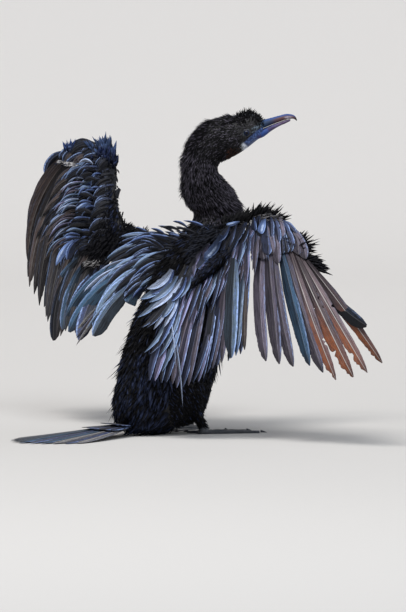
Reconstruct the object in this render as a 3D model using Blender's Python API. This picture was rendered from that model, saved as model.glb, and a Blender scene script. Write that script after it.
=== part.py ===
"""A cormorant drying its wings, as a still, life-size model.

Sizes are in millimetres and become metres when a mesh is made. +X is the way the body faces,
+Y its left and +Z up, and the feet and tail rest on the floor at z = 0.
"""

import math
import random

import bmesh
import bpy
from mathutils import Vector
from mathutils.bvhtree import BVHTree

MM = 0.001
GAP = 0.3
SEED = 11

# The head and bill lie in an upright plane turned to the right of the body's heading.
HEAD_TURN = 38.0

# Body stations from rump to neck: x, y, z, forward lean, turn, half width, half depth.
TORSO = (
    (-60, 0, 5, 4, 0, 15, 26),
    (-57, 0, 12, 8, 0, 26, 39),
    (-51, 0, 22, 14, 0, 33, 46),
    (-44, 0, 38, 19, 0, 36.5, 49),
    (-38, 0, 57, 22, 0, 38.5, 49),
    (-30, 0, 79, 24, 0, 40, 48),
    (-20, 0, 102, 25, 0, 40, 46),
    (-10, 0, 128, 25, 0, 38.5, 42),
    (0, 0, 152, 23, 0, 36, 35.5),
    (10, 0, 172, 18, 0, 31, 28.5),
    (18, 0, 187, 10, 0, 25.5, 24.5),
)
NECK_LOWER = (
    (18, 0, 187, 10, 0, 25.5, 24.5),
    (20, 0, 200, 1, 4, 21.5, 24),
    (13, 0, 213, -8, 10, 18.5, 26.5),
    (4, -1, 226, -13, 17, 16.5, 21.5),
    (0, -1, 238, -4, 24, 15.5, 17),
)
NECK_UPPER = (
    (0, -1, 238, -4, 24, 15.5, 17),
    (0.5, -1, 248, 12, 31, 15.3, 17.2),
    (3.6, -2.8, 258, 33, 38, 15.3, 18.2),
)
# Head stations in its own plane: reach from the neck's axis, z, lean, half width, half depth.
HEAD = (
    (4.6, 258, 33, 15.3, 18.2),
    (14.7, 266.8, 58, 15.3, 20.4),
    (26.7, 271.4, 71, 14.8, 19.6),
    (37.7, 275.1, 76, 13, 17),
    (46.9, 278.8, 81, 10.6, 14.4),
    (53.4, 279.4, 86, 8.2, 10.8),
    (57.8, 278.8, 88, 6.2, 8.2),
)
# Bill stations: reach, top, bottom, half width.
BILL_UPPER = (
    (58.1, 286.7, 278.7, 5.8),
    (65.3, 288.4, 281.8, 4.7),
    (72.7, 290.4, 284.7, 3.9),
    (79.1, 291.9, 286.7, 3.4),
    (84.9, 291.3, 287.6, 2.7),
    (87.6, 289.4, 286.9, 1.7),
    (88.8, 287.2, 285.6, 0.7),
)
BILL_LOWER = (
    (58.1, 278.3, 270.8, 5.4),
    (65.3, 281.4, 276.2, 4.4),
    (72.7, 284.3, 280.6, 3.5),
    (78.5, 286.2, 283.2, 2.8),
    (82.9, 287.1, 285.4, 1.6),
)
MOUTH_START = (45.0, 270.9)
MOUTH_END = (59.5, 279.0)
MOUTH_SLIT = 0.5

EYE_REACH = 43.0
EYE_HEIGHT = 276.4
EYE_RADIUS = 3.0
EYE_DEPTH = 3.2
LID_RADIUS = 0.65

CREST_COUNT = 12
CREST_LENGTH = (3.5, 6.5)

# Legs and feet are given for the left side and mirrored.
HOCK = (-30, 25, 24)
ANKLE = (-15, 25, 6.5)
ANKLE_RADIUS = 4.2
THIGH_RADIUS = 13.0
TOE_HEIGHT = 4.6
WEB_HEIGHT = 1.4
# Toes from outer to hind: length, heading away from forward (outwards is positive), base radius.
TOES = ((54, 30, 3.4), (47, 8, 3.3), (35, -16, 3.0), (19, -108, 2.8))
CLAW = 4.32
# How thick a toe is along its length, as shares, and the radius of the ankle at each height.
TOE_SWELL = ((-0.03, 0.7), (0.12, 1), (0.32, 0.78), (0.5, 0.8), (0.7, 0.62), (0.95, 0.45))
ANKLE_RINGS = ((0, 5.6), (2.6, 5.8), (4.8, 4.9), (ANKLE[2], ANKLE_RADIUS))

TAIL_ROOT = (-84, 0, 11)
TAIL_PAIRS = 6
TAIL_LENGTHS = (128, 92)
TAIL_SPREAD = 27.0
TAIL_WIDTH = 12.5
TAIL_ARCH = 7.0
TAIL_TIP_HEIGHT = 0.6
# The tail's flesh: distance back from its root, drop, half width and half height.
TAIL_STUB = ((-10, 0, 15, 7.5), (6, -0.3, 14, 7), (14, -1.5, 12, 5.6), (22, -3.0, 8, 3.4))

# Joints and key feather tips of each wing. Primaries run 1 to 10, secondaries 1 to 14, and the
# plumes over the upper arm from the elbow to the shoulder.
RIGHT = {
    "name": "right", "side": -1,
    "shoulder": (12, -25, 171), "elbow": (-52, -60, 142), "wrist": (-15, -119, 199),
    "hand": (-1, -165, 168), "primary_tips": ((-40, -140, 79), (-23, -190, 71), (4, -254, 80)),
    "outermost_tip": (-7, -245, 114),
    "secondary_tips": ((-41, -124, 83), (-65, -88, 63), (-96, -50, 56)),
    "plume_tips": ((-97, -42, 80), (-91, -31, 108), (-80, -23, 127)),
    "secondaries": 14, "front_hollow": 0.16,
    "arm_coverts": ((11, 0.2, 0.48, 10, 3.4, 3), (8, 0.45, 0.26, 9, 6.6, 3)),
    "plume_span": (0.05, 0.6), "plume_rows": ((6, 0.3, 1.0, 11, 1.5, 4), (6, 0.6, 0.6, 10, 5.0, 3)),
    "fringe": ((7, "secondary", 9.0), (6, "primary", 8.0)),
}
LEFT = {
    "name": "left", "side": 1,
    "shoulder": (11, 29, 169), "elbow": (-25, 107, 158), "wrist": (-19, 123, 247),
    "hand": (-32, 180, 241), "primary_tips": ((-35, 171, 128), (-38, 190, 109), (-39, 211, 115)),
    "outermost_tip": (-40, 216, 133),
    "secondary_tips": ((-41, 165, 125), (-54, 160, 82), (-45, 138, 98)),
    "plume_tips": ((-74, 112, 102), (-73, 92, 80), (-46, 52, 116)),
    "secondaries": 9, "front_hollow": 0.55,
    "arm_coverts": ((9, 0.2, 0.48, 10, 2.8, 3), (8, 0.45, 0.26, 9, 5.8, 3)),
    "plume_span": (0.1, 0.72), "plume_rows": ((8, 0.3, 1.0, 12, 1.5, 4), (8, 0.6, 0.55, 11, 5.0, 3)),
    "fringe": ((5, "secondary", 8.0), (5, "primary", 7.0)),
}
# The lengths of the wing, from joint to joint, and 1 where a row's places run away from the body.
LENGTHS = {"plume": ("elbow", "shoulder"), "secondary": ("wrist", "elbow"), "primary": ("wrist", "hand")}
AWAY = {"primary": 1, "secondary": -1, "plume": -1}
# Thickness of the flesh at each joint, and how far it reaches before and behind the joint.
THICKNESS = {"shoulder": 17.0, "elbow": 10.0, "wrist": 9.5, "hand": 4.5}
SHOULDER_REACH = 12
ELBOW_REACH = 4
WRIST_REACH = (5, 6)
HAND_REACH = 3
BODY_AXIS = (0.45, 0, 0.89)

PRIMARIES = 10
FLIGHT_WIDTH = 13.0
FLIGHT_THICK = 0.6
FLIGHT_BOW = 4.0
COVERT_BOW = 1.5
CLEAR = 0.7
FLIGHT_LAP = 1.8
COVERT_LAP = 1.35
OUTER_SHARE = 0.42
PRIMARY_SPAN = (0.08, 0.96)
SECONDARY_SPAN = (0.05, 0.93)
FLESH_TAPER = -0.3
ROOT_DEPTH = 1.6
SHOULDER_DEPTH = 12.0

# Rows of coverts: count, start as a share of the flesh from its rear edge, length as a share of the
# long feathers, half width, lift over them, pieces in a feather.
HAND_COVERTS = ((9, 0.4, 0.42, 9.5, 3.0, 3), (7, 0.7, 0.22, 8.5, 6.2, 3))

# How wide a feather is along its length, as a share of its full width.
VANE_OUTLINE = ((0, 0.15), (0.12, 0.3), (0.36, 1), (0.72, 0.97), (0.9, 0.68), (1, 0.2))
SPIKE_OUTLINE = ((0, 1), (0.5, 0.9), (1, 0.3))

PLUMAGE = (0.018, 0.017, 0.018)
COLOURS = {
    "body": (PLUMAGE, 0.7), "vane": ((0.05, 0.055, 0.07), 0.45), "bill": ((0.17, 0.15, 0.19), 0.4),
    "eye": ((0.01, 0.012, 0.012), 0.08), "foot": ((0.02, 0.022, 0.028), 0.5),
}
COLLECTION = "cormorant"


def mix(a, b, t):
    """The value or point a share t of the way from a to b."""
    return a + (b - a) * t


def through(points, t):
    """The point at t on the curve that passes three points at 0, a half and 1."""
    first, middle, last = (Vector(point) for point in points)
    bend = middle * 2 - (first + last) / 2
    return first * (1 - t) ** 2 + bend * (2 * t * (1 - t)) + last * t ** 2


def bent(root, corner, tip, t):
    """The point at t on the curve that leaves root towards corner and ends at tip."""
    return root * (1 - t) ** 2 + corner * (2 * t * (1 - t)) + tip * t ** 2


def table(pairs, t):
    """The value at t in a table of (place, value) pairs."""
    for (start, low), (end, high) in zip(pairs, pairs[1:]):
        if t <= end:
            return mix(low, high, (t - start) / (end - start))
    return pairs[-1][1]


def spline(stations, t):
    """The station at t, from 0 to 1, on a smooth curve through all of them."""
    place = t * (len(stations) - 1)
    k = min(int(place), len(stations) - 2)
    f = place - k
    before, a, b, after = (stations[min(max(k + d, 0), len(stations) - 1)] for d in (-1, 0, 1, 2))
    return tuple(
        0.5 * (2 * q + (r - p) * f + (2 * p - 5 * q + 4 * r - s) * f ** 2 + (3 * q - p - 3 * r + s) * f ** 3)
        for p, q, r, s in zip(before, a, b, after)
    )


def head_point(reach, side, height):
    """A point given in the head's own plane."""
    turn = math.radians(HEAD_TURN)
    forward = Vector((math.cos(turn), -math.sin(turn), 0))
    left = Vector((math.sin(turn), math.cos(turn), 0))
    return forward * reach + left * side + Vector((0, 0, height))


def new_object(name, bm):
    """Makes an object of the mesh, turns its faces out and brings it to metres."""
    bmesh.ops.recalc_face_normals(bm, faces=bm.faces[:])
    bmesh.ops.scale(bm, vec=(MM, MM, MM), verts=bm.verts[:])
    mesh = bpy.data.meshes.new(name)
    bm.to_mesh(mesh)
    bm.free()
    obj = bpy.data.objects.new(name, mesh)
    bpy.context.scene.collection.objects.link(obj)
    return obj


def loft(name, rings):
    """A closed body through rings of points. A four-sided strip splits alike on both of its faces."""
    bm = bmesh.new()
    loops = [[bm.verts.new(point) for point in ring] for ring in rings]
    count = len(loops[0])
    for near, far in zip(loops, loops[1:]):
        for k in range(count):
            a, b, c, d = near[k], near[(k + 1) % count], far[(k + 1) % count], far[k]
            if k * 2 < count:
                bm.faces.new((a, b, c))
                bm.faces.new((a, c, d))
            else:
                bm.faces.new((a, b, d))
                bm.faces.new((b, c, d))
    bm.faces.new(list(reversed(loops[0])))
    bm.faces.new(loops[-1])
    return new_object(name, bm)


def oval(centre, across, up, count, taper=0.0):
    """A ring of points round centre, thicker towards the far end of across where taper is negative."""
    points = []
    for k in range(count):
        angle = 2 * math.pi * k / count
        c, s = math.cos(angle), math.sin(angle)
        points.append(centre + across * c + up * (s * (1 + taper * c)))
    return points


def body_ring(station, count, grow):
    """The ring of one body station."""
    x, y, z, lean, turn, wide, deep = station
    lean, turn = math.radians(lean), math.radians(turn)
    axis = Vector((math.sin(lean) * math.cos(turn), -math.sin(lean) * math.sin(turn), math.cos(lean)))
    left = Vector((math.sin(turn), math.cos(turn), 0))
    return oval(Vector((x, y, z)), left * (wide + grow), axis.cross(left) * (deep + grow), count)


def body_length(name, stations, rings, count, ends=(0.0, 0.0), grow=0.0):
    """One length of the body. Its end faces are drawn back by the given amounts along its axis."""
    made = [body_ring(spline(stations, k / (rings - 1)), count, grow) for k in range(rings)]
    for index, amount, station in ((0, ends[0], stations[0]), (-1, -ends[1], stations[-1])):
        lean, turn = math.radians(station[3]), math.radians(station[4])
        axis = Vector((math.sin(lean) * math.cos(turn), -math.sin(lean) * math.sin(turn), math.cos(lean)))
        made[index] = [point + axis * amount for point in made[index]]
    return loft(name, made)


def vane(name, here, across, up, width, segments):
    """One feather as a thin tapered strip: here, across and up give its shaft and sides at each t."""
    rings = []
    for k in range(segments + 1):
        t = 1 - (1 - k / segments) ** 1.15
        inner, outer = width(t)
        side, face = across(t), up(t) * (FLIGHT_THICK / 2)
        rings.append([
            here(t) - side * inner + face, here(t) + side * outer + face,
            here(t) + side * outer - face, here(t) - side * inner - face,
        ])
    return loft(name, rings)


def shingles(name, line, count, width, outwards, segments, lap=FLIGHT_LAP, first_half=1.0):
    """A row of feathers on the surface line(s, t), each one's outer edge raised over the next one out.

    s runs along the row and t from root to tip. The first of outwards is 1 where s runs away from the
    body and -1 where it runs towards it. The second is 1 or -1 by the side that the row's top faces.
    """
    away, facing = outwards
    vanes = []
    for k in range(count):
        s = (k + 0.5) / count

        def frame(t, s=s):
            span = (line(s + 0.5 / count, t) - line(s - 0.5 / count, t)) * away
            ahead = line(s, min(t + 0.03, 1)) - line(s, max(t - 0.03, 0))
            normal = (span.cross(ahead) * facing).normalized()
            across = ahead.cross(normal).normalized()
            across = across if across.dot(span) > 0 else -across
            spacing = abs(span.dot(across))
            return normal, across, spacing

        def sides(t, k=k, frame=frame):
            spacing = frame(t)[2]
            half = min(width * table(VANE_OUTLINE, t), lap * spacing)
            inner = half * (1 - OUTER_SHARE)
            return inner * (first_half if k == 0 else 1), half * OUTER_SHARE

        def across(t, frame=frame):
            normal, over, spacing = frame(t)
            rise = min((FLIGHT_THICK + CLEAR) / max(spacing, 1.5), 0.5)
            return over + normal * rise

        def here(t, s=s):
            return line(s, t)

        def up(t, frame=frame):
            return frame(t)[0]

        vanes.append(vane(f"{name}_{k}", here, across, up, sides, segments))
    return vanes


def apply_modifiers(obj):
    """Gives the object the mesh that its modifiers make of it."""
    graph = bpy.context.evaluated_depsgraph_get()
    made = bpy.data.meshes.new_from_object(obj.evaluated_get(graph))
    worn = obj.data
    obj.modifiers.clear()
    obj.data = made
    bpy.data.meshes.remove(worn)


def discard(objects):
    """Removes objects that have served, with their meshes."""
    for obj in objects:
        mesh = obj.data
        bpy.data.objects.remove(obj)
        bpy.data.meshes.remove(mesh)


def keep_largest(obj):
    """Keeps only the closed surface that reaches furthest."""
    bm = bmesh.new()
    bm.from_mesh(obj.data)
    bmesh.ops.remove_doubles(bm, verts=bm.verts[:], dist=0.002 * MM)
    seen = set()
    islands = []
    for start in bm.verts:
        if start in seen:
            continue
        island, front = [], [start]
        seen.add(start)
        while front:
            vert = front.pop()
            island.append(vert)
            for edge in vert.link_edges:
                other = edge.other_vert(vert)
                if other not in seen:
                    seen.add(other)
                    front.append(other)
        islands.append(island)
    islands.sort(key=len)
    for island in islands[:-1]:
        bmesh.ops.delete(bm, geom=island, context="VERTS")
    bm.to_mesh(obj.data)
    bm.free()


def fuse(core, pieces, solver="MANIFOLD"):
    """Joins the pieces to the core with one Boolean union and removes them."""
    if not pieces:
        return core
    gathered = bpy.data.collections.new(core.name + "_pieces")
    bpy.context.scene.collection.children.link(gathered)
    for piece in pieces:
        gathered.objects.link(piece)
    union = core.modifiers.new("union", "BOOLEAN")
    union.operation = "UNION"
    union.operand_type = "COLLECTION"
    union.collection = gathered
    union.solver = solver
    apply_modifiers(core)
    discard(pieces)
    bpy.data.collections.remove(gathered)
    keep_largest(core)
    return core


def carve(obj, cutters):
    """Takes the cutters out of the object and removes them."""
    for cutter in cutters:
        cut = obj.modifiers.new("cut", "BOOLEAN")
        cut.operation = "DIFFERENCE"
        cut.object = cutter
        cut.solver = "EXACT"
    apply_modifiers(obj)
    discard(cutters)
    keep_largest(obj)
    return obj


def finish(obj, look):
    """Names the node's material and files it in the model's collection."""
    colour, roughness = COLOURS[look]
    material = bpy.data.materials.new(obj.name)
    material.use_nodes = True
    shader = material.node_tree.nodes["Principled BSDF"]
    shader.inputs["Base Color"].default_value = (*colour, 1)
    shader.inputs["Roughness"].default_value = roughness
    shader.inputs["Metallic"].default_value = 0.0
    obj.data.materials.clear()
    obj.data.materials.append(material)
    obj.data.shade_smooth()
    obj.data.set_sharp_from_angle(angle=math.radians(40))
    bpy.context.scene.collection.objects.unlink(obj)
    bpy.data.collections[COLLECTION].objects.link(obj)


def surface_of(obj):
    """A tree that finds places on the object's surface, in metres."""
    return BVHTree.FromObject(obj, bpy.context.evaluated_depsgraph_get())


def sunk_root(tree, above, inwards, depth):
    """The point under the surface that is met from above along inwards, and the surface's normal there."""
    hit, normal, _, _ = tree.ray_cast(above * MM, inwards)
    if hit is None:
        hit, normal, _, _ = tree.find_nearest(above * MM)
    return hit / MM - normal * depth, normal


def torso(name="torso", grow=0.0):
    ends = (-grow, GAP / 2) if grow == 0 else (-grow, 0.0)
    return body_length(name, TORSO, 15, 18, ends, grow)


def necks():
    lower = body_length("neck_lower", NECK_LOWER, 7, 16, (GAP / 2, GAP / 2))
    upper = body_length("neck_upper", NECK_UPPER, 5, 16, (GAP / 2, GAP / 2))
    return lower, upper


def head_ring(station, count, grow=0.0):
    reach, height, lean, wide, deep = station
    lean = math.radians(lean)
    left = head_point(0, 1, 0)
    axis = head_point(math.sin(lean), 0, math.cos(lean))
    return oval(head_point(reach, 0, height), left * (wide + grow), axis.cross(left) * (deep + grow), count)


def eye_ball(name, side, radius):
    """An eye, or the hollow for one, set in the side of the head."""
    wide = spline(HEAD, 0.58)[3]
    bm = bmesh.new()
    bmesh.ops.create_uvsphere(bm, u_segments=12, v_segments=8, radius=radius)
    centre = head_point(EYE_REACH, side * (wide - EYE_DEPTH), EYE_HEIGHT)
    bmesh.ops.translate(bm, vec=centre, verts=bm.verts[:])
    return new_object(name, bm)


def lid(side, tree):
    """The ring of bare skin round one eye."""
    count, sides = 12, 4
    outwards = head_point(0, side, 0)
    centre = head_point(EYE_REACH, 0, EYE_HEIGHT)
    up = Vector((0, 0, 1))
    along = head_point(1, 0, 0)
    path = []
    for k in range(count):
        angle = 2 * math.pi * k / count
        spot = centre + (along * math.cos(angle) + up * math.sin(angle) * 0.9) * (EYE_RADIUS + 0.1)
        path.append(sunk_root(tree, spot + outwards * 30, -outwards, 0.1)[0])
    bm = bmesh.new()
    loops = []
    for k, spot in enumerate(path):
        radial = (spot - centre - outwards * (spot - centre).dot(outwards)).normalized()
        ring = []
        for j in range(sides):
            angle = 2 * math.pi * j / sides
            aside = radial * math.cos(angle) + outwards * math.sin(angle)
            ring.append(bm.verts.new(spot + aside * LID_RADIUS))
        loops.append(ring)
    for k in range(count):
        near, far = loops[k], loops[(k + 1) % count]
        for j in range(sides):
            bm.faces.new((near[j], near[(j + 1) % sides], far[(j + 1) % sides], far[j]))
    return new_object(f"lid_{side}", bm)


def spike(name, root, corner, tip, flat, width, segments=2):
    """A narrow plume from root to tip, its flat side facing flat."""
    def ahead(t):
        return bent(root, corner, tip, min(t + 0.03, 1)) - bent(root, corner, tip, max(t - 0.03, 0))

    def half(t):
        return (width / 2 * table(SPIKE_OUTLINE, t),) * 2

    return vane(
        name, lambda t: bent(root, corner, tip, t), lambda t: ahead(t).cross(flat).normalized(),
        lambda t: ahead(t).cross(flat).cross(ahead(t)).normalized(), half, segments,
    )


def crest(tree, chance):
    """The ruffled plumes that stand on the forehead."""
    plumes = []
    for k in range(CREST_COUNT):
        t = k / (CREST_COUNT - 1)
        reach = mix(36, 56, t)
        side = (k % 3 - 1) * mix(4.6, 2.4, t)
        root, normal = sunk_root(tree, head_point(reach, side, 320), Vector((0, 0, -1)), 1.6)
        lean = head_point(mix(-0.7, 0.7, t) + chance.uniform(-0.12, 0.12), side * 0.06, 1).normalized()
        tip = root + lean * (mix(*CREST_LENGTH, math.sin(math.pi * t)) + 1.6)
        corner = root + normal * 3
        plumes.append(spike(f"plume_{k}", root, corner, tip, head_point(0.3, 1, 0), 2.6))
    return plumes


def head(chance):
    rings = [head_ring(spline(HEAD, k / 12), 18) for k in range(13)]
    lean = math.radians(HEAD[0][2])
    rings[0] = [p + head_point(math.sin(lean), 0, math.cos(lean)) * (GAP / 2) for p in rings[0]]
    skull = loft("head", rings)
    tree = surface_of(skull)
    skull = fuse(skull, [lid(1, tree), lid(-1, tree)] + crest(tree, chance), "EXACT")
    slit = bmesh.new()
    bmesh.ops.create_cube(slit, size=1)
    start, end = head_point(MOUTH_START[0], 0, MOUTH_START[1]), head_point(MOUTH_END[0], 0, MOUTH_END[1])
    along, left = end - start, head_point(0, 1, 0)
    up = along.normalized().cross(left).normalized()
    for vert in slit.verts:
        x, y, z = vert.co
        vert.co = start + along * (x + 0.5) + left * (y * 40) + up * (z * MOUTH_SLIT)
    cutters = [new_object("slit", slit)]
    cutters += [eye_ball(f"socket_{side}", side, EYE_RADIUS + GAP) for side in (1, -1)]
    return carve(skull, cutters)


def bill(name, stations):
    rings = []
    for k in range(9):
        reach, top, bottom, wide = spline(stations, k / 8)
        centre = head_point(reach, 0, (top + bottom) / 2)
        rings.append(oval(centre, head_point(0, wide, 0), head_point(0, 0, (top - bottom) / 2), 12))
    return loft(name, rings)


def leg(name, side):
    """The feathered shank between the belly and the foot."""
    hock, ankle = Vector(HOCK), Vector(ANKLE)
    hock.y *= side
    ankle.y *= side
    rings = []
    for t in (0, 0.35, 0.7, 1):
        spot = mix(hock, ankle, t)
        radius = mix(THIGH_RADIUS, ANKLE_RADIUS, t ** 0.8)
        rings.append(oval(spot, Vector((radius, 0, 0)), Vector((0, radius * 0.85, 0)), 12))
    rings[-1] = [Vector((p.x, p.y, ankle.z + GAP)) for p in rings[-1]]
    return carve(loft(name, rings), [torso("torso_cutter", GAP)])


def toe_line(side, toe):
    """Where a toe starts and ends on the floor, and its heading."""
    length, heading, radius = toe
    angle = math.radians(heading)
    forward = Vector((math.cos(angle), side * math.sin(angle), 0))
    start = Vector((ANKLE[0], side * ANKLE[1], 0))
    return start, start + forward * length, forward


def toe(name, side, sizes):
    """One toe with its knuckles and claw, flat underneath."""
    start, end, forward = toe_line(side, sizes)
    radius = sizes[2]
    across = Vector((0, 0, 1)).cross(forward)
    rings = []
    height = TOE_HEIGHT * radius / TOES[0][2]
    for t, swell in TOE_SWELL:
        rings.append(arch(mix(start, end, t), across, radius * swell, height * swell))
    rings.append(arch(end + forward * CLAW, across, radius * 0.12, 0.8))
    return loft(name, rings)


def arch(centre, across, radius, height):
    """A ring with a flat sole and a round back."""
    points = [centre - across * radius, centre + across * radius]
    for degrees in (35, 70, 110, 145):
        angle = math.radians(degrees)
        points.append(centre + across * (radius * math.cos(angle)) + Vector((0, 0, height * math.sin(angle))))
    return points


def web(name, side, first, second):
    """The skin between two toes, with a hollowed front edge."""
    start, end_a, _ = toe_line(side, first)
    _, end_b, _ = toe_line(side, second)
    outline = [start, mix(start, end_a, 0.5), mix(start, end_a, 0.93)]
    for t in (0.25, 0.5, 0.75):
        edge = mix(mix(start, end_a, 0.93), mix(start, end_b, 0.93), t)
        outline.append(mix(edge, start, 0.16 * math.sin(math.pi * t)))
    outline += [mix(start, end_b, 0.93), mix(start, end_b, 0.5)]
    bm = bmesh.new()
    bm.faces.new([bm.verts.new(point) for point in outline])
    top = bmesh.ops.extrude_face_region(bm, geom=bm.faces[:])["geom"]
    raised = [item for item in top if isinstance(item, bmesh.types.BMVert)]
    bmesh.ops.translate(bm, vec=(0, 0, WEB_HEIGHT), verts=raised)
    bmesh.ops.triangulate(bm, faces=bm.faces[:])
    return new_object(name, bm)


def foot(name, side):
    """Four webbed toes round a low ankle."""
    ankle = Vector((ANKLE[0], side * ANKLE[1], 0))
    ahead, across = Vector((1, 0, 0)), Vector((0, 1, 0))
    rings = []
    for height, radius in ANKLE_RINGS:
        rings.append(oval(ankle + Vector((0, 0, height)), ahead * radius, across * radius * 0.85, 10))
    pieces = [toe(f"toe_{k}", side, sizes) for k, sizes in enumerate(TOES)]
    pieces += [web(f"web_{k}", side, a, b) for k, (a, b) in enumerate(zip(TOES, TOES[1:]))]
    return fuse(loft(name, rings), pieces, "EXACT")


def tail_line(side):
    """The surface that one half of the tail lies on, with its tips resting on the floor."""
    root = Vector(TAIL_ROOT)

    def line(s, t):
        angle = math.radians(TAIL_SPREAD * s)
        heading = Vector((-math.cos(angle), side * math.sin(angle), 0))
        start = root + Vector((0, side * s * 9, -1))
        length = mix(*TAIL_LENGTHS, max(s, 0) ** 1.4)
        tip = Vector((root.x, root.y, 0)) + heading * length
        tip.z = TAIL_TIP_HEIGHT
        corner = mix(start, tip, 0.55)
        corner.z = mix(TAIL_ARCH, 3.0, max(s, 0))
        return bent(start, corner, tip, t)

    return line


def tail():
    root = Vector(TAIL_ROOT)
    back = Vector((-1, 0, 0))
    rings = []
    for reach, low, wide, tall in TAIL_STUB:
        centre = root + back * reach + Vector((0, 0, low))
        rings.append(oval(centre, Vector((0, wide, 0)), Vector((0, 0, tall)), 12))
    stub = loft("tail", rings)
    pieces = []
    for side in (1, -1):
        row = f"rectrix_{side}"
        pieces += shingles(row, tail_line(side), TAIL_PAIRS, TAIL_WIDTH, (1, -side), 5, FLIGHT_LAP, 0.3)
    fan = fuse(stub, pieces)
    for vert in fan.data.vertices:
        vert.co.z = max(vert.co.z, 0)
    return carve(fan, [torso("torso_cutter", GAP)])


def joints_of(wing):
    """The wing's joints, the upper side of the folded triangle between them and its front edge's middle."""
    s, e, w, h = (Vector(wing[key]) for key in ("shoulder", "elbow", "wrist", "hand"))
    arm_up = (w - e).cross(s - e).normalized() * -wing["side"]
    chord = w - s
    nearest = s + chord * ((e - s).dot(chord) / chord.length_squared)
    return s, e, w, h, arm_up, mix(nearest, e, wing["front_hollow"])


def key_chords(wing):
    """Rear edge, front edge and upper side of the flesh at the shoulder, elbow, wrist and hand tip."""
    s, e, w, h, arm_up, front = joints_of(wing)
    side = wing["side"]
    body_axis = Vector(BODY_AXIS)
    out = (e - front).normalized()
    run = ((w - e).normalized() + (h - w).normalized()).normalized()
    trail = Vector(wing["secondary_tips"][0]) + Vector(wing["primary_tips"][0]) - w * 2
    trail = (trail - run * trail.dot(run)).normalized()
    reach = h - w
    fan = Vector(wing["primary_tips"][2]) - h
    fan = (fan - reach * (fan.dot(reach) / reach.length_squared)).normalized()
    shoulder_up = (e - s).cross(body_axis).normalized() * -side
    wrist_up = run.cross(trail).normalized() * side
    return {
        "shoulder": (s - body_axis * SHOULDER_REACH, s + body_axis * SHOULDER_REACH, shoulder_up),
        "elbow": (e + out * ELBOW_REACH, front, arm_up),
        "wrist": (w + trail * WRIST_REACH[0], w - trail * WRIST_REACH[1], wrist_up),
        "hand": (h + fan * HAND_REACH, h - fan * HAND_REACH, reach.cross(fan).normalized() * side),
    }


def chord_at(wing, kind, t):
    """Rear edge, front edge, upper side and thickness of the flesh at t along one length of the wing."""
    chords = key_chords(wing)
    near, far = LENGTHS[kind]
    rear, ahead, up = (mix(a, b, t) for a, b in zip(chords[near], chords[far]))
    return rear, ahead, up.normalized(), mix(THICKNESS[near], THICKNESS[far], t)


def flesh(name, wing, kind, rings, sunk=0.0):
    """One length of the wing's flesh, its end faces half a gap short of its neighbours."""
    made = []
    for k in range(rings):
        rear, ahead, up, thick = chord_at(wing, kind, k / (rings - 1))
        made.append(oval((rear + ahead) / 2, (ahead - rear) / 2, up * (thick / 2), 12, FLESH_TAPER))
    for index, inner in ((0, 1), (-1, -2)):
        middle = sum(made[index], Vector()) / 12
        inward = (sum(made[inner], Vector()) / 12 - middle)
        a, b = made[index][0] - middle, made[index][3] - middle
        normal = a.cross(b).normalized()
        normal = normal if normal.dot(inward) > 0 else -normal
        amount = GAP / 2 if index == 0 or not sunk else -sunk
        made[index] = [point + normal * amount for point in made[index]]
    return loft(name, made)


def bone_at(wing, kind, t):
    """The place on the bone, and the way that it runs outwards from the body."""
    s, e, w, h = (Vector(wing[key]) for key in ("shoulder", "elbow", "wrist", "hand"))
    near, far = {"plume": (e, s), "secondary": (w, e), "primary": (w, h)}[kind]
    run = (far - near) if kind == "primary" else (near - far)
    return mix(near, far, t), run.normalized()


def row_tip(wing, kind, t):
    """The tip of the long feather that grows t of the way along the row."""
    if kind == "primary":
        last = 1 - 1 / PRIMARIES
        inner = through(wing["primary_tips"], min(t, last) / last)
        return mix(inner, Vector(wing["outermost_tip"]), min(max(t - last, 0) * PRIMARIES * 2, 1))
    return through(wing[kind + "_tips"], t)


def row_up(wing, kind, t, place):
    """The way that the upper side of the feathers faces there."""
    root, run = bone_at(wing, kind, place)
    return (run.cross(row_tip(wing, kind, t) - root) * wing["side"]).normalized()


def long_line(wing, kind, span):
    """The surface that the long feathers of one row lie on."""
    def line(s, t):
        place = mix(*span, s)
        root, _ = bone_at(wing, kind, place)
        up = row_up(wing, kind, s, place)
        tip = row_tip(wing, kind, s)
        return bent(root, mix(root, tip, 0.5) + up * FLIGHT_BOW, tip, t)

    return line


def covert_line(wing, kind, span, start, share, lift):
    """The surface of a row of shorter feathers, from its start on the flesh to its share of the long row."""
    long = long_line(wing, kind, span)

    def line(s, t):
        place = mix(*span, s)
        rear, ahead, flesh_up, thick = chord_at(wing, kind, place)
        up = row_up(wing, kind, s, place)
        around = 2 * start - 1
        height = thick / 2 * math.sqrt(1 - around ** 2) * (1 + FLESH_TAPER * around)
        root = mix(rear, ahead, start) + flesh_up * (height - ROOT_DEPTH)
        tip = long(s, share) + up * lift
        return bent(root, mix(root, tip, 0.45) + (up + flesh_up).normalized() * COVERT_BOW, tip, t)

    return line


def fringe(wing, kind):
    """The short ruffled feathers along the front edge of one length of the wing."""
    spikes = []
    for count, length, reach in wing["fringe"]:
        if length != kind:
            continue
        for k in range(count):
            place = (k + 0.5) / count
            rear, ahead, up, _ = chord_at(wing, kind, place)
            _, run = bone_at(wing, kind, place)
            forward = (ahead - rear).normalized()
            heading = forward * (0.8 + 0.2 * (k % 2)) + up * (0.75 - 0.3 * (k % 2)) + run * 0.25
            heading = heading.normalized()
            root = ahead - forward * 3
            tip = root + heading * (reach * (0.85 + 0.15 * (k % 3)) + 3)
            spikes.append(spike(f"fringe_{k}", root, mix(root, tip, 0.5) + forward, tip, up, 5.0))
    return spikes


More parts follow.
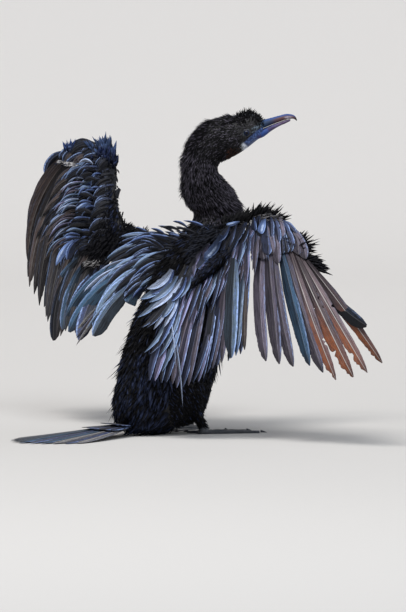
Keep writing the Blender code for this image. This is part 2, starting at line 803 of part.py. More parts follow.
def rows(wing, kind, count, width, span, coverts):
    """The long feathers of one length of the wing with its rows of coverts."""
    facing = (AWAY[kind], wing["side"])
    vanes = []
    if count:
        vanes += shingles(kind, long_line(wing, kind, span), count, width, facing, 4)
    for k, (number, start, share, wide, lift, segments) in enumerate(coverts):
        line = covert_line(wing, kind, span, start, share, lift)
        vanes += shingles(f"{kind}_covert_{k}", line, number, wide, facing, segments, COVERT_LAP)
    return vanes + fringe(wing, kind)


def hand(wing):
    node = flesh(f"hand_{wing['name']}", wing, "primary", 5)
    return fuse(node, rows(wing, "primary", PRIMARIES, FLIGHT_WIDTH, PRIMARY_SPAN, HAND_COVERTS))


def forearm(wing):
    node = flesh(f"forearm_{wing['name']}", wing, "secondary", 6)
    coverts = wing["arm_coverts"]
    return fuse(node, rows(wing, "secondary", wing["secondaries"], FLIGHT_WIDTH, SECONDARY_SPAN, coverts))


def upper_arm(wing):
    node = flesh(f"upper_arm_{wing['name']}", wing, "plume", 6, SHOULDER_DEPTH)
    node = fuse(node, rows(wing, "plume", 0, 0, wing["plume_span"], wing["plume_rows"]))
    return carve(node, [torso("torso_cutter", GAP)])


def centre_on_origin(objects):
    """Moves the whole model so that the origin is under the middle of its box."""
    points = [vert.co for obj in objects for vert in obj.data.vertices]
    middle = [(min(p[axis] for p in points) + max(p[axis] for p in points)) / 2 for axis in (0, 1)]
    for point in points:
        point -= Vector((*middle, 0))


def main():
    for obj in list(bpy.data.objects):
        bpy.data.objects.remove(obj)
    bpy.context.scene.collection.children.link(bpy.data.collections.new(COLLECTION))
    chance = random.Random(SEED)
    lower, upper = necks()
    nodes = [(torso(), "body"), (lower, "body"), (upper, "body"), (head(chance), "body")]
    nodes += [(bill("bill_upper", BILL_UPPER), "bill"), (bill("bill_lower", BILL_LOWER), "bill")]
    for name, side in (("left", 1), ("right", -1)):
        nodes.append((eye_ball(f"eye_{name}", side, EYE_RADIUS), "eye"))
        nodes.append((leg(f"leg_{name}", side), "body"))
        nodes.append((foot(f"foot_{name}", side), "foot"))
    for wing in (LEFT, RIGHT):
        nodes += [(part(wing), "vane") for part in (upper_arm, forearm, hand)]
    nodes.append((tail(), "vane"))
    for node, look in nodes:
        finish(node, look)
    centre_on_origin(bpy.data.collections[COLLECTION].objects)


main()
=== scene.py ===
"""A cormorant drying its wings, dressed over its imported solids.

Lengths in the functions are in millimetres in the bird's own frame: +X is the way the body faces, +Y
its left and +Z up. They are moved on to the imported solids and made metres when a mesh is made.
"""

import math

import bmesh
import bpy
import numpy as np
from bpy.props import FloatProperty, FloatVectorProperty, IntProperty, PointerProperty
from mathutils import Matrix, Vector


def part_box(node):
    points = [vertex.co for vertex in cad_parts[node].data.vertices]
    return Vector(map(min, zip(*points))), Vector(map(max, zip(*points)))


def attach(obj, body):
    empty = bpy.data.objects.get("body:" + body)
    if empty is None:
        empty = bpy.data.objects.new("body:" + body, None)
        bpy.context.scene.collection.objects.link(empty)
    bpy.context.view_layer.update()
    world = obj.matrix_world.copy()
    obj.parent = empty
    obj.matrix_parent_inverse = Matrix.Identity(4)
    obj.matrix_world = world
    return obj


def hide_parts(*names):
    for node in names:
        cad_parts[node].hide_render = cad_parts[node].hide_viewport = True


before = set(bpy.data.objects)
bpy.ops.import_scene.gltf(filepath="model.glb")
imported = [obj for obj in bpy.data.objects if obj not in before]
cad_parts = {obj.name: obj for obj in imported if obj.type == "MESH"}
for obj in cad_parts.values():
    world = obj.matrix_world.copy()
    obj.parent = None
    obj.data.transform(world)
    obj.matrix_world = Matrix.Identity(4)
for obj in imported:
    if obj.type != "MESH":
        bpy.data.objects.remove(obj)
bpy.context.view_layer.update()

bl_info = {
    "name": "Cormorant drying its wings",
    "version": (1, 0, 0),
    "blender": (4, 5, 0),
    "location": "3D View > Sidebar > Cormorant",
    "description": "Dresses the solids of a cormorant with plumage, bill, eyes and feet",
    "category": "Object",
}

MM = 0.001
SEED = 20
BODY = "root"
# Feathers that lie on the floor keep this far above it.
FLOOR_GAP = 0.05

# The torso's lowest X and Y in the bird's own frame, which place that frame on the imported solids.
TORSO_CORNER = (-95.972, -40.153)
_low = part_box("torso")[0]
PLACE = np.array([_low.x / MM - TORSO_CORNER[0], _low.y / MM - TORSO_CORNER[1], 0.0])

HEAD_TURN = 38.0

# Body stations from rump to neck: x, y, z, forward lean, turn, half width, half depth.
TRUNK = (
    (-60, 0, 5, 4, 0, 15, 26), (-57, 0, 12, 8, 0, 26, 39), (-51, 0, 22, 14, 0, 33, 46),
    (-44, 0, 38, 19, 0, 36.5, 49), (-38, 0, 57, 22, 0, 38.5, 49), (-30, 0, 79, 24, 0, 40, 48),
    (-20, 0, 102, 25, 0, 40, 46), (-10, 0, 128, 25, 0, 38.5, 42), (0, 0, 152, 23, 0, 36, 35.5),
    (10, 0, 172, 18, 0, 31, 28.5), (18, 0, 187, 10, 0, 25.5, 24.5), (20, 0, 200, 1, 4, 21.5, 24),
    (13, 0, 213, -8, 10, 18.5, 26.5), (4, -1, 226, -13, 17, 16.5, 21.5), (0, -1, 238, -4, 24, 15.5, 17),
    (0.5, -1, 248, 12, 31, 15.3, 17.2), (3.6, -2.8, 258, 33, 38, 15.3, 18.2),
)
# Head stations in its own plane: reach from the neck's axis, z, lean, half width, half depth.
HEAD = (
    (4.6, 258, 33, 15.3, 18.2), (14.7, 266.8, 58, 15.3, 20.4), (26.7, 271.4, 71, 14.8, 19.6),
    (37.7, 275.1, 76, 13, 17), (46.9, 278.8, 81, 10.6, 14.4), (53.4, 279.4, 86, 8.2, 10.8),
    (57.8, 278.8, 88, 6.2, 8.2),
)
# Bill stations: reach, top, bottom, half width.
BILL_UPPER = (
    (50, 285.6, 276.4, 6.6), (58.1, 286.7, 278.9, 5.8), (65.3, 288.4, 281.9, 4.7), (72.7, 290.4, 284.7, 3.9),
    (79.1, 291.9, 286.7, 3.4), (84.9, 291.3, 287.5, 2.7), (87.6, 289.4, 286.4, 1.7),
    (88.9, 286.9, 285.3, 0.6),
)
BILL_LOWER = (
    (44, 273.6, 266.4, 6.4), (50, 275.8, 268, 6.3), (58.1, 278.6, 270.8, 5.4), (65.3, 281.6, 276.2, 4.4),
    (72.7, 284.4, 280.6, 3.5), (78.5, 286.3, 283.2, 2.8), (82.9, 287.1, 285.4, 1.5),
)
EYE_REACH = 42.8
EYE_HEIGHT = 274.9
EYE_RADIUS = 3.2
# How far along the head the eye sits, how deep, and how far the lids stand forward of its middle.
EYE_STATION = 0.58
EYE_INSET = 2.0
LID_FORWARD = 1.35

HOCK = (-30, 25, 24)
ANKLE = (-15, 25, 6.5)
# Toes from outer to hind: length, heading away from forward (outwards is positive), base radius.
TOES = ((54, 30, 3.4), (47, 8, 3.3), (35, -16, 3.0), (19, -108, 2.8))

TAIL_ROOT = (-84, 0, 11)
TAIL_LENGTHS = (128, 92)
TAIL_SPREAD = 27.0

RIGHT = {
    "name": "right", "side": -1,
    "shoulder": (12, -25, 171), "elbow": (-52, -60, 142), "wrist": (-15, -119, 199), "hand": (-1, -165, 168),
    "primary_tips": ((-40, -140, 79), (-23, -190, 71), (4, -254, 80)), "outermost_tip": (-7, -245, 114),
    "secondary_tips": ((-41, -124, 83), (-65, -88, 63), (-96, -50, 56)),
    "plume_tips": ((-97, -42, 80), (-91, -31, 108), (-80, -23, 127)), "front_hollow": 0.16,
}
LEFT = {
    "name": "left", "side": 1,
    "shoulder": (11, 29, 169), "elbow": (-25, 107, 158), "wrist": (-19, 123, 247), "hand": (-32, 180, 241),
    "primary_tips": ((-35, 171, 128), (-38, 190, 109), (-39, 211, 115)), "outermost_tip": (-40, 216, 133),
    "secondary_tips": ((-41, 165, 125), (-54, 160, 82), (-45, 138, 98)),
    "plume_tips": ((-74, 112, 102), (-73, 92, 80), (-46, 52, 116)), "front_hollow": 0.55,
}
for _wing in (RIGHT, LEFT):
    for _key, _value in _wing.items():
        if isinstance(_value, tuple):
            _wing[_key] = np.array(_value, float)
PRIMARIES = 10
PRIMARY_SPAN = (0.08, 0.96)
SECONDARY_SPAN = (0.05, 0.93)
PLUME_SPAN = (0.05, 0.75)
# Square pixels over which the surface's points blend.
SHEET_BLUR = 20

# The photo's camera: pixels across and down, the pixel of the bird frame's origin, millimetres in a
# pixel there, the camera's distance, and how it looks.
PHOTO = (406, 612)
ORIGIN_PIXEL = (200.0, 431.0)
PIXEL = 0.92
DISTANCE = 7000.0
AZIMUTH = -38.0
ELEVATION = 4.0

# How wide a feather is along its length, as a share of its full width.
FLIGHT = ((0, 0.35), (0.12, 0.6), (0.35, 1), (0.72, 0.98), (0.88, 0.78), (0.96, 0.46), (1, 0.1))
TAPER = ((0, 0.4), (0.12, 0.65), (0.35, 1), (0.6, 0.92), (0.8, 0.64), (0.92, 0.36), (1, 0.04))
ROUND = ((0, 0.4), (0.15, 0.7), (0.45, 1), (0.8, 0.97), (0.93, 0.72), (1, 0.2))
BLADE = ((0, 0.5), (0.25, 0.9), (0.5, 1), (0.78, 0.7), (0.93, 0.33), (1, 0.04))
SHARP = ((0, 0.4), (0.15, 0.75), (0.4, 1), (0.65, 0.8), (0.85, 0.42), (0.95, 0.18), (1, 0.03))

# Paint of feathers: colour, then gloss, rufous and wear. Gloss sets how much painted highlight and painted
# sheen a feather takes. White stands for a painted highlight; bright and sheen are partly the feathers' own
# blue and partly painted highlight.
PAINTS = {
    "grey": ((0.125, 0.104, 0.142), (0.25, 0, 0.06)), "slate": ((0.040, 0.052, 0.112), (0.55, 0, 0)),
    "lavender": ((0.235, 0.215, 0.37), (0.75, 0, 0.05)), "steel": ((0.034, 0.080, 0.140), (0.3, 0, 0)),
    "blue": ((0.030, 0.055, 0.150), (0.85, 0, 0)), "bright": ((0.16, 0.25, 0.52), (1, 0, 0)),
    "dark": ((0.003, 0.004, 0.009), (0.05, 0, 0)), "rufous": ((0.125, 0.092, 0.100), (0.05, 1, 0.12)),
    "pale": ((0.13, 0.125, 0.13), (0.1, 0, 0.7)), "brown": ((0.060, 0.043, 0.038), (0.05, 0, 0.14)),
    "dusk": ((0.010, 0.013, 0.026), (0.65, 0, 0)), "sheen": ((0.105, 0.16, 0.25), (0.95, 0, 0)),
    "white": ((0.42, 0.50, 0.70), (0.5, 0, 0.2)), "soot": ((0.026, 0.022, 0.023), (0.03, 0, 0.06)),
    "ink": ((0.007, 0.011, 0.016), (0.15, 0, 0)), "mist": ((0.12, 0.175, 0.245), (0.8, 0, 0)),
}
# How a feather's colour strays from its paint.
SHADES = (0.6, 1.75)
# Where a feather's columns of corners lie, from one edge over the shaft to the other, and its bends.
VANE_COLUMNS = (-1.0, -0.62, -0.12, 0.0, 0.12, 0.55, 1.0)
TAIL_COLUMNS = (-1.0, -0.62, -0.11, 0.0, 0.11, 0.6, 1.0)
CENTRE_STEPS = np.linspace(0, 1, 17)
# The outer web's share of a feather's width, how far its barbs slant, its hollow as a share of its width,
# and its thickness in millimetres.
OUTER_WEB = 0.36
BARB_SLANT = 0.6
CAMBER = 0.1
VANE_THICKNESS = 0.3

# Rows of feathers as the photo shows them, from the lowest to the topmost. Roots and tips are stations
# along the row: pixels across and down, and millimetres over the surface of the long feathers. Then come
# the count, width, outline, curl of each station as a share of the length, paints, cuts along the
# length, and how ragged the ends are.
ROWS = {
    "right": (
        ("long", 9, ((263, 232, 0), (275, 239, 0), (288, 248, 0), (300, 256, -1)),
         ((264, 360, 0), (278, 363, 0), (291, 365, 0), (307, 364, 0), (320, 371, 0), (333, 379, 0),
          (349, 376, 0), (363.5, 371.5, 0), (377, 361, 0)),
         13.6, FLIGHT, (-0.02, -0.03, -0.02, 0, 0, 0.0),
         "grey grey grey steel grey rufous rufous rufous rufous", 60, 0.3),
        ("long", 1, ((304, 260, -1),), ((362, 325, -1),), 12.5, ROUND, (-0.07,), "ink", 50, 0.03),
        ("long", 20, ((184, 292, 0), (208, 268, 0), (232, 246, 0), (248.5, 236, 0)),
         ((151, 379, 0), (166, 381, 0), (180, 386, 0), (194, 383, 0), (207, 372, 0), (220, 363, 0),
          (232, 358, 0), (244, 350, 0)),
         7.6, FLIGHT, (-0.04, 0.02, 0.03, 0),
         "slate lavender dusk slate grey lavender slate grey slate lavender dusk slate grey slate grey dusk "
         "slate sheen dusk brown", 48, 0.3),
        ("long", 1, ((235, 248, 2),), ((231, 357, 2),), 14.5, FLIGHT, (0.0,), "mist", 48, 0.1),
        ("covert", 26, ((184, 288, 2), (210, 266, 2), (232, 246, 2), (248, 236, 2)),
         ((158, 342, 2.2), (172, 336, 2.2), (190, 328, 2.2), (206, 314, 2.2), (221, 298, 2.2),
          (233, 292, 2.2), (245, 284, 2.2)), 5.4, SHARP, (-0.08, 0.0, 0.04, 0.02),
         "lavender grey slate lavender dusk lavender slate sheen dark", 26, 0.3),
        ("covert", 28, ((181, 284, 4), (210, 258, 4), (236, 236, 4), (256, 226, 4)),
         ((163, 314, 3.6), (178, 306, 3.6), (194, 298, 3.6), (210, 286, 3.6), (226, 274, 3.6),
          (240, 266, 3.6), (254, 260, 3.6)), 5.0, SHARP, (-0.1, 0.0, 0.05, 0.02),
         "grey slate lavender dusk sheen slate dark lavender", 20, 0.3),
        ("covert", 11, ((244, 228, 4), (256, 226, 4), (264, 224, 4)),
         ((240, 276, 3), (247, 268, 3), (257, 266, 3), (267, 264, 3)), 6.6, SHARP, (0.0, 0.0),
         "grey slate dusk slate grey", 20, 0.2),
        ("covert", 1, ((257, 234, 5),), ((253.5, 276, 4),), 6.0, SHARP, (0.0,), "grey", 20, 0.1),
        ("covert", 26, ((178, 278, 6), (206, 250, 6), (232, 230, 6), (256, 220, 6)),
         ((168, 298, 5), (184, 288, 5), (200, 276, 5), (216, 263, 5), (232, 252, 5), (248, 245, 5)),
         5.0, SHARP, (-0.1, 0.05), "dusk blue dusk dark slate dark dusk lavender", 16, 0.25),
        ("covert", 12, ((258, 220, 4), (266, 219, 4), (274, 220, 4), (281, 224, 3)),
         ((263, 266, 3), (271, 260, 3), (279, 257, 3), (289, 254, 3), (300, 252, 3)),
         10.0, ROUND, (0.0, 0.02, 0.08, 0.16), "grey slate dusk grey dusk grey dusk", 22, 0.05),
        ("covert", 11, ((256, 217, 6), (264, 217, 6), (274, 219, 6), (280, 222, 5)),
         ((258, 240, 5), (267, 240, 5), (277, 240, 5), (292, 240, 4.5)), 8.4, ROUND, (0.0, 0.1),
         "slate dusk blue dusk slate grey", 18, 0.05),
        ("covert", 8, ((166, 276, 4), (174, 284, 4), (180, 292, 3)),
         ((143, 300, 5), (141, 322, 5), (143, 345, 4.5), (152, 358, 4), (157, 374, 3), (165, 380, 2)),
         8.0, BLADE, (0.16, 0.05), "sheen slate sheen dusk sheen white", 30, 0.08),
        ("covert", 8, ((172, 270, 7), (178, 280, 7), (182, 290, 6)),
         ((150, 290, 7), (149, 308, 7), (153, 330, 6.5), (160, 342, 6)), 7.6, BLADE, (0.14, 0.02),
         "sheen blue sheen dusk sheen white", 22, 0.08),
        ("covert", 1, ((172, 318, 4),), ((183, 405, 3),), 2.0, BLADE, (0.02,), "white", 30, 0.3),
        ("covert", 1, ((167, 300, 6),), ((176, 366, 4),), 1.4, BLADE, (0.03,), "white", 30, 0.3),
        ("blob", 1, ((229, 227, 10),), ((217, 242, 10),), 6.6, ROUND, (0.1,), "blue", 16, 0.0),
        ("blob", 1, ((221, 236, 16),), ((204, 260, 15),), 8.6, ROUND, (0.1,), "bright", 24, 0.0),
        ("blob", 1, ((208, 254, 11),), ((198, 269, 11),), 7.0, ROUND, (0.1,), "blue", 16, 0.0),
        ("blob", 1, ((186, 278, 12),), ((172, 301, 12),), 8.0, ROUND, (0.1,), "blue", 24, 0.0),
        ("blob", 1, ((191, 277, 13),), ((180, 298, 12),), 4.5, BLADE, (0.1,), "sheen", 24, 0.0),
        ("blob", 1, ((175, 293, 10),), ((163, 317, 9),), 7.4, ROUND, (0.1,), "sheen", 16, 0.0),
        ("blob", 1, ((264, 219, 8),), ((260, 235, 8),), 6.8, ROUND, (0.0,), "bright", 16, 0.0),
        ("blob", 1, ((253, 219, 8),), ((254, 232, 8),), 5.6, ROUND, (0.0,), "blue", 16, 0.0),
        ("blob", 1, ((239, 223, 10),), ((226, 226, 10),), 3.4, ROUND, (0.0,), "bright", 14, 0.0),
    ),
    "left": (
        ("long", 10, ((97, 166, 0), (84, 162, 0), (70, 158, 0), (58, 157, 0)),
         ((53, 330, 0), (45, 321, 0), (42, 309, 0), (37, 305, 0), (31, 296, 0), (27, 287, 0), (24, 276, 0),
          (25, 262, 0), (27, 245, 0), (29, 232, -1)),
         15.0, TAPER, (0.04, 0.05, 0.06, 0.08, 0.1, 0.1),
         "soot soot ink soot soot brown soot brown brown brown", 56, 0.3),
        ("long", 12, ((96, 258, 0), (100, 235, 0), (101, 205, 0), (98, 170, 0)),
         ((78, 333, 0), (66, 332, 0), (53, 340, 0), (47, 325, 0), (44, 316, 0)),
         14.0, TAPER, (0.05, 0.07, 0.08),
         "ink soot soot ink brown soot ink soot brown soot brown soot", 48, 0.3),
        ("covert", 22, ((82, 252, 2.5), (86, 225, 2.5), (90, 195, 2.5), (92, 166, 2.5)),
         ((50, 286, 2.2), (42, 266, 2.2), (38, 246, 2.2), (40, 226, 2.2), (44, 206, 2.2), (50, 186, 2.2)),
         7.0, BLADE, (0.16, 0.2, 0.2), "brown dusk dark brown dark dark dusk brown dark", 26, 0.25),
        ("covert", 24, ((82, 248, 5), (88, 222, 5), (92, 192, 5), (94, 162, 5)),
         ((60, 270, 4), (53, 248, 4), (52, 228, 4), (56, 206, 4), (61, 186, 4), (66, 170, 4)),
         5.6, BLADE, (0.2, 0.24), "dark blue dark dusk sheen dark dusk dark brown", 22, 0.2),
        ("covert", 24, ((92, 246, 7), (97, 220, 7), (100, 190, 7), (101, 158, 7)),
         ((70, 258, 6), (68, 236, 6), (71, 214, 6), (74, 190, 6), (78, 168, 6)),
         5.6, BLADE, (0.22, 0.26), "blue dark dusk dark blue dark dark dusk", 20, 0.2),
        ("covert", 24, ((104, 240, 8), (108, 215, 8), (110, 185, 8), (110, 154, 8)),
         ((86, 252, 7.5), (89, 226, 7.5), (92, 200, 7.5), (93, 170, 7.5)), 6.4, SHARP, (0.16, 0.2),
         "dark dark dark dusk dark dark dark", 16, 0.15),
        ("covert", 26, ((113, 216, 3), (113, 190, 3), (112, 165, 3), (111, 150, 3)),
         ((107, 242, 7), (106, 214, 7), (106, 188, 7), (104, 168, 7)), 7.4, SHARP, (0.05, 0.08),
         "dark", 16, 0.1),
        ("covert", 10, ((98, 158, 4), (92, 150, 5), (84, 146, 5), (76, 147, 4)),
         ((76, 164, 3), (69, 163, 3), (64, 160, 3), (59, 157, 3), (58, 152, 3)),
         8.5, ROUND, (0.16, 0.2), "dusk brown dusk grey brown dusk", 22, 0.03),
        ("covert", 9, ((106, 158, 6), (100, 148, 7), (92, 143, 7)),
         ((84, 159, 6), (78, 153, 6), (71, 148, 6), (68, 146, 5)), 6.6, ROUND, (0.16, 0.2),
         "dusk dark slate dusk dark", 18, 0.03),
        ("covert", 1, ((68, 150, 1),), ((43, 173, 1),), 9.0, FLIGHT, (0.22,), "dusk", 26, 0.0),
        ("covert", 1, ((64, 275, 3),), ((52, 341, 2.5),), 11.0, ROUND, (0.06,), "dark", 30, 0.05),
        ("covert", 1, ((84, 262, 4),), ((62, 330, 3),), 13.0, ROUND, (0.08,), "steel", 30, 0.1),
        ("covert", 1, ((76, 258, 5),), ((50, 298, 4),), 9.5, ROUND, (0.08,), "steel", 22, 0.1),
        ("covert", 1, ((72, 240, 12),), ((54, 265, 11),), 6.4, BLADE, (0.10,), "bright", 22, 0.0),
        ("blob", 1, ((80, 238, 11),), ((66, 259, 10),), 8.0, ROUND, (0.16,), "blue", 18, 0.0),
        ("blob", 1, ((69, 225, 12),), ((50, 243, 11),), 2.8, BLADE, (0.10,), "white", 20, 0.0),
        ("blob", 1, ((65, 212, 12),), ((46, 226, 11),), 2.4, BLADE, (0.10,), "white", 20, 0.0),
        ("blob", 1, ((67, 218, 12),), ((49, 233, 11),), 2.0, BLADE, (0.10,), "white", 20, 0.0),
        ("blob", 1, ((66, 200, 12),), ((52, 210, 11),), 2.0, BLADE, (0.14,), "lavender", 20, 0.0),
        ("blob", 1, ((72, 204, 12),), ((62, 207, 11),), 2.6, BLADE, (0.2,), "white", 20, 0.0),
        ("blob", 1, ((92, 163, 12),), ((77, 162, 11),), 3.2, BLADE, (0.3,), "white", 16, 0.0),
        ("blob", 7, ((96, 166, 11), (94, 184, 11), (90, 202, 11), (82, 224, 11), (74, 236, 11)),
         ((81, 171, 10), (77, 190, 10), (73, 210, 10), (63, 231, 10), (57, 245, 10)), 4.6, BLADE, (0.16,),
         "blue sheen blue bright blue sheen bright", 24, 0.0),
        ("covert", 14, ((92, 166, 12), (92, 186, 12), (90, 206, 12), (82, 228, 12), (76, 242, 12)),
         ((77, 170, 11), (76, 190, 11), (74, 208, 11), (62, 234, 11), (56, 250, 11)), 4.4, BLADE, (0.2,),
         "blue dark sheen dark blue dusk", 22, 0.0),
        ("covert", 24, ((84, 176, 12), (80, 192, 12), (76, 206, 12), (72, 222, 12), (70, 240, 12)),
         ((64, 186, 11), (56, 206, 11), (52, 220, 11), (48, 238, 11), (47, 258, 11)), 2.2, BLADE, (0.18,),
         "lavender sheen white dusk grey brown", 22, 0.0),
        ("blob", 6, ((100, 172, 9), (98, 192, 9), (92, 212, 9)),
         ((90, 176, 8), (87, 196, 8), (80, 218, 8)), 4.2, ROUND, (0.2,),
         "blue dusk blue slate blue dusk", 16, 0.0),
    ),
    "middle": (
        ("plume", 5, ((150, 262, 8), (140, 258, 8), (120, 262, 5), (104, 266, 4)),
         ((128, 303, 1), (110, 318, 1), (96, 328, 1), (80, 334, 1), (66, 325, 1)), 16.0, ROUND, (0.04, 0.08),
         "slate dusk steel slate dusk", 34, 0.15),
        ("plume", 1, ((138, 290, 3),), ((127, 303, 2),), 12.0, ROUND, (0.05,), "steel", 20, 0.05),
        ("plume", 3, ((114, 300, 3), (108, 298, 3)), ((77, 342, 2), (71, 338, 2)), 4.0, BLADE, (0.04,),
         "pale grey pale", 34, 0.6),
        ("plume", 1, ((140, 280, 6),), ((93, 336, 3),), 13.5, ROUND, (0.08,), "mist", 34, 0.03),
        ("plume", 1, ((136, 282, 8),), ((86, 330, 5),), 3.0, BLADE, (0.08,), "sheen", 34, 0.03),
        ("plume", 1, ((150, 270, 9),), ((97, 315, 5.5),), 15.0, ROUND, (0.12,), "mist", 34, 0.03),
        ("plume", 1, ((136, 258, 9),), ((65, 317, 4),), 12.0, ROUND, (0.12,), "steel", 34, 0.03),
        ("plume", 1, ((126, 272, 7),), ((68, 332, 3),), 13.0, ROUND, (0.10,), "steel", 34, 0.03),
        ("plume", 1, ((150, 266, 11),), ((106, 298, 7),), 10.0, ROUND, (0.12,), "mist", 30, 0.03),
        ("plume", 1, ((138, 266, 10),), ((82, 306, 5.5),), 6.0, BLADE, (0.14,), "sheen", 30, 0.03),
        ("plume", 1, ((140, 262, 11),), ((72, 310, 6),), 3.2, BLADE, (0.14,), "white", 30, 0.0),
        ("plume", 1, ((142, 258, 12),), ((80, 296, 7),), 3.0, BLADE, (0.16,), "white", 30, 0.0),
        ("plume", 16, ((166, 278, 14), (164, 262, 15), (162, 250, 15), (158, 238, 12)),
         ((128, 300, 8), (118, 292, 9), (108, 281, 9), (100, 268, 9), (108, 257, 10), (119, 240, 10)),
         6.4, BLADE, (0.12, 0.16, 0.1), "slate dusk blue sheen dark sheen dusk blue sheen dark", 26, 0.1),
        ("plume", 16, ((176, 274, 18), (174, 258, 19), (170, 246, 18), (166, 236, 14)),
         ((140, 292, 13), (134, 277, 13), (127, 264, 13), (123, 252, 13), (132, 240, 12)),
         5.4, BLADE, (0.14, 0.16), "dark sheen dusk blue dark dusk sheen slate", 22, 0.1),
    ),
    "mantle": (
        ("mantle", 9, ((150, 240, 24), (168, 236, 4), (188, 233, -18), (204, 236, -30)),
         ((136, 229, 30), (154, 226, 20), (168, 224, 2), (184, 223, -16)), 2.8, BLADE, (0.12, 0.12),
         "dark dusk dark blue dark", 18, 0.05),
        ("mantle", 16, ((165, 249, 4), (185, 244, -14), (206, 248, -34)),
         ((138, 241, 16), (160, 235, 0), (184, 235, -22)), 3.4, BLADE, (0.1, 0.1),
         "dark dark dusk dark blue", 18, 0.05),
        ("mantle", 16, ((172, 262, -4), (190, 256, -22), (214, 254, -38)),
         ((144, 258, 6), (164, 252, -12), (190, 246, -32)), 3.4, BLADE, (0.1, 0.1),
         "dark dark dusk dark", 18, 0.05),
        ("mantle", 14, ((182, 270, -18), (196, 262, -32), (214, 262, -44)),
         ((150, 284, -10), (156, 272, -14), (172, 262, -26), (190, 256, -38)), 3.4, BLADE, (0.1, 0.1),
         "dusk dark sheen dark blue dark", 18, 0.05),
    ),
}

# Ruffled tufts: count, roots along a line (pixels across and down, millimetres over the surface), where
# they point in pixels, width, colour, and how far they spread from the line.
FRINGES = {
    "right": (
        (420, ((222, 224, 4), (240, 222, 4), (258, 218, 4), (277, 221, 3)),
         ((4, -6), (6, -10), (8, -11), (8, -3)), 2.2, (0.004, 0.004, 0.005), 1.8),
        (90, ((295, 239, 2), (300, 247, 2), (303, 253, 2)), ((6, -7), (11, -3), (12, -1)),
         2.0, (0.004, 0.004, 0.006), 1.5),
        (110, ((301, 254, 2), (309, 262, 1), (318, 270, 0)), ((13, 2), (12, 3), (8, 3)),
         2.0, (0.004, 0.004, 0.007), 1.5),
        (120, ((238, 225, 9), (250, 221, 9), (264, 218, 9), (279, 220, 7)),
         ((6, 1), (7, -1), (8, -1), (6, 2)), 0.8, (0.26, 0.25, 0.26), 1.5),
        (60, ((205, 262, 9), (195, 266, 9)), ((-5, 2), (-6, 2)), 1.2, (0.2, 0.19, 0.19), 1.2),
        (260, ((206, 262, 2), (196, 250, 2), (206, 238, 2), (222, 230, 2)), ((-6, 5), (-8, 2), (-8, 3)),
         1.8, (0.012, 0.014, 0.022), 5.0),
    ),
    "left": (
        (150, ((92, 152, 5), (103, 149, 5), (112, 154, 3)), ((-5, -9), (0, -12), (0, -9)),
         4.2, (0.026, 0.044, 0.098), 2.0),
        (110, ((98, 158, 7), (106, 158, 7), (113, 164, 5)), ((-3, -8), (1, -10), (1, -9)),
         3.6, (0.008, 0.014, 0.045), 2.5),
        (50, ((66, 151, 3), (73, 149, 3)), ((-3, -9), (3, -9)), 3.6, (0.018, 0.034, 0.10), 1.5),
        (90, ((74, 147, 4), (96, 147, 5)), ((-1, -5), (2, -5)), 1.8, (0.006, 0.007, 0.014), 1.2),
        (70, ((60, 160, 4), (78, 163, 6)), ((-6, 0), (-7, 2)), 0.8, (0.42, 0.41, 0.42), 0.9),
        (500, ((113, 154, 0), (113, 190, 0), (114, 214, 0), (123, 227, 2), (146, 235, 6)),
         ((1, 4), (1, 4), (3, 3), (3, -4), (5, -4)), 1.7, (0.004, 0.004, 0.006), 1.4),
        (900, ((112, 224, 7), (104, 240, 8), (98, 256, 8)), ((-3, 7), (-5, 6), (-5, 6)),
         1.8, (0.004, 0.004, 0.006), 8.0),
        (60, ((86, 262, 12), (104, 262, 12)), ((-6, 2), (-7, 3)), 0.8, (0.30, 0.29, 0.29), 1.2),
        (420, ((114, 222, 4), (122, 231, 4), (134, 236, 6), (150, 240, 9)), ((1, 5), (4, 3), (5, 2), (6, 1)),
         2.6, (0.004, 0.004, 0.006), 2.2),
        (220, ((124, 238, 6), (140, 244, 8), (160, 248, 12)), ((-6, 2), (-8, 2), (-9, 2)),
         1.9, (0.004, 0.004, 0.006), 6.0),
    ),
}


def mix(a, b, t):
    return a + (b - a) * t


def unit(v):
    return v / np.maximum(np.linalg.norm(v, axis=-1, keepdims=True), 1e-9)


def bent(root, corner, tip, t):
    """Points at the shares t on the curve that leaves root towards corner and ends at tip."""
    t = np.asarray(t, float)[..., None]
    return root * (1 - t) ** 2 + corner * (2 * t * (1 - t)) + tip * t ** 2


def through(points, t):
    first, middle, last = points
    bend = middle * 2 - (first + last) / 2
    return first * (1 - t) ** 2 + bend * (2 * t * (1 - t)) + last * t ** 2


def table(pairs, t):
    places, values = zip(*pairs)
    return np.interp(t, places, values)


def spline(stations, t):
    """The station at t, from 0 to 1, on a smooth curve through all of them."""
    stations = np.asarray(stations, float)
    place = t * (len(stations) - 1)
    k = min(int(place), len(stations) - 2)
    f = place - k
    p, q, r, s = (stations[min(max(k + d, 0), len(stations) - 1)] for d in (-1, 0, 1, 2))
    square, cube = 2 * p - 5 * q + 4 * r - s, 3 * q - p - 3 * r + s
    return 0.5 * (2 * q + (r - p) * f + square * f ** 2 + cube * f ** 3)


def head_point(reach, side, height):
    """A point, or a heading, given in the head's own plane."""
    turn = math.radians(HEAD_TURN)
    forward = np.array([math.cos(turn), -math.sin(turn), 0])
    left = np.array([math.sin(turn), math.cos(turn), 0])
    return forward * reach + left * side + np.array([0, 0, height])


def oval(centre, across, up, count, taper=0.0):
    angle = np.linspace(0, 2 * math.pi, count, endpoint=False)[:, None]
    return centre + across * np.cos(angle) + up * (np.sin(angle) * (1 + taper * np.cos(angle)))


def body_ring(station, count, shrink):
    x, y, z, lean, turn, wide, deep = station
    lean, turn = math.radians(lean), math.radians(turn)
    axis = np.array([math.sin(lean) * math.cos(turn), -math.sin(lean) * math.sin(turn), math.cos(lean)])
    left = np.array([math.sin(turn), math.cos(turn), 0])
    return oval(np.array([x, y, z]), left * (wide - shrink), np.cross(axis, left) * (deep - shrink), count)


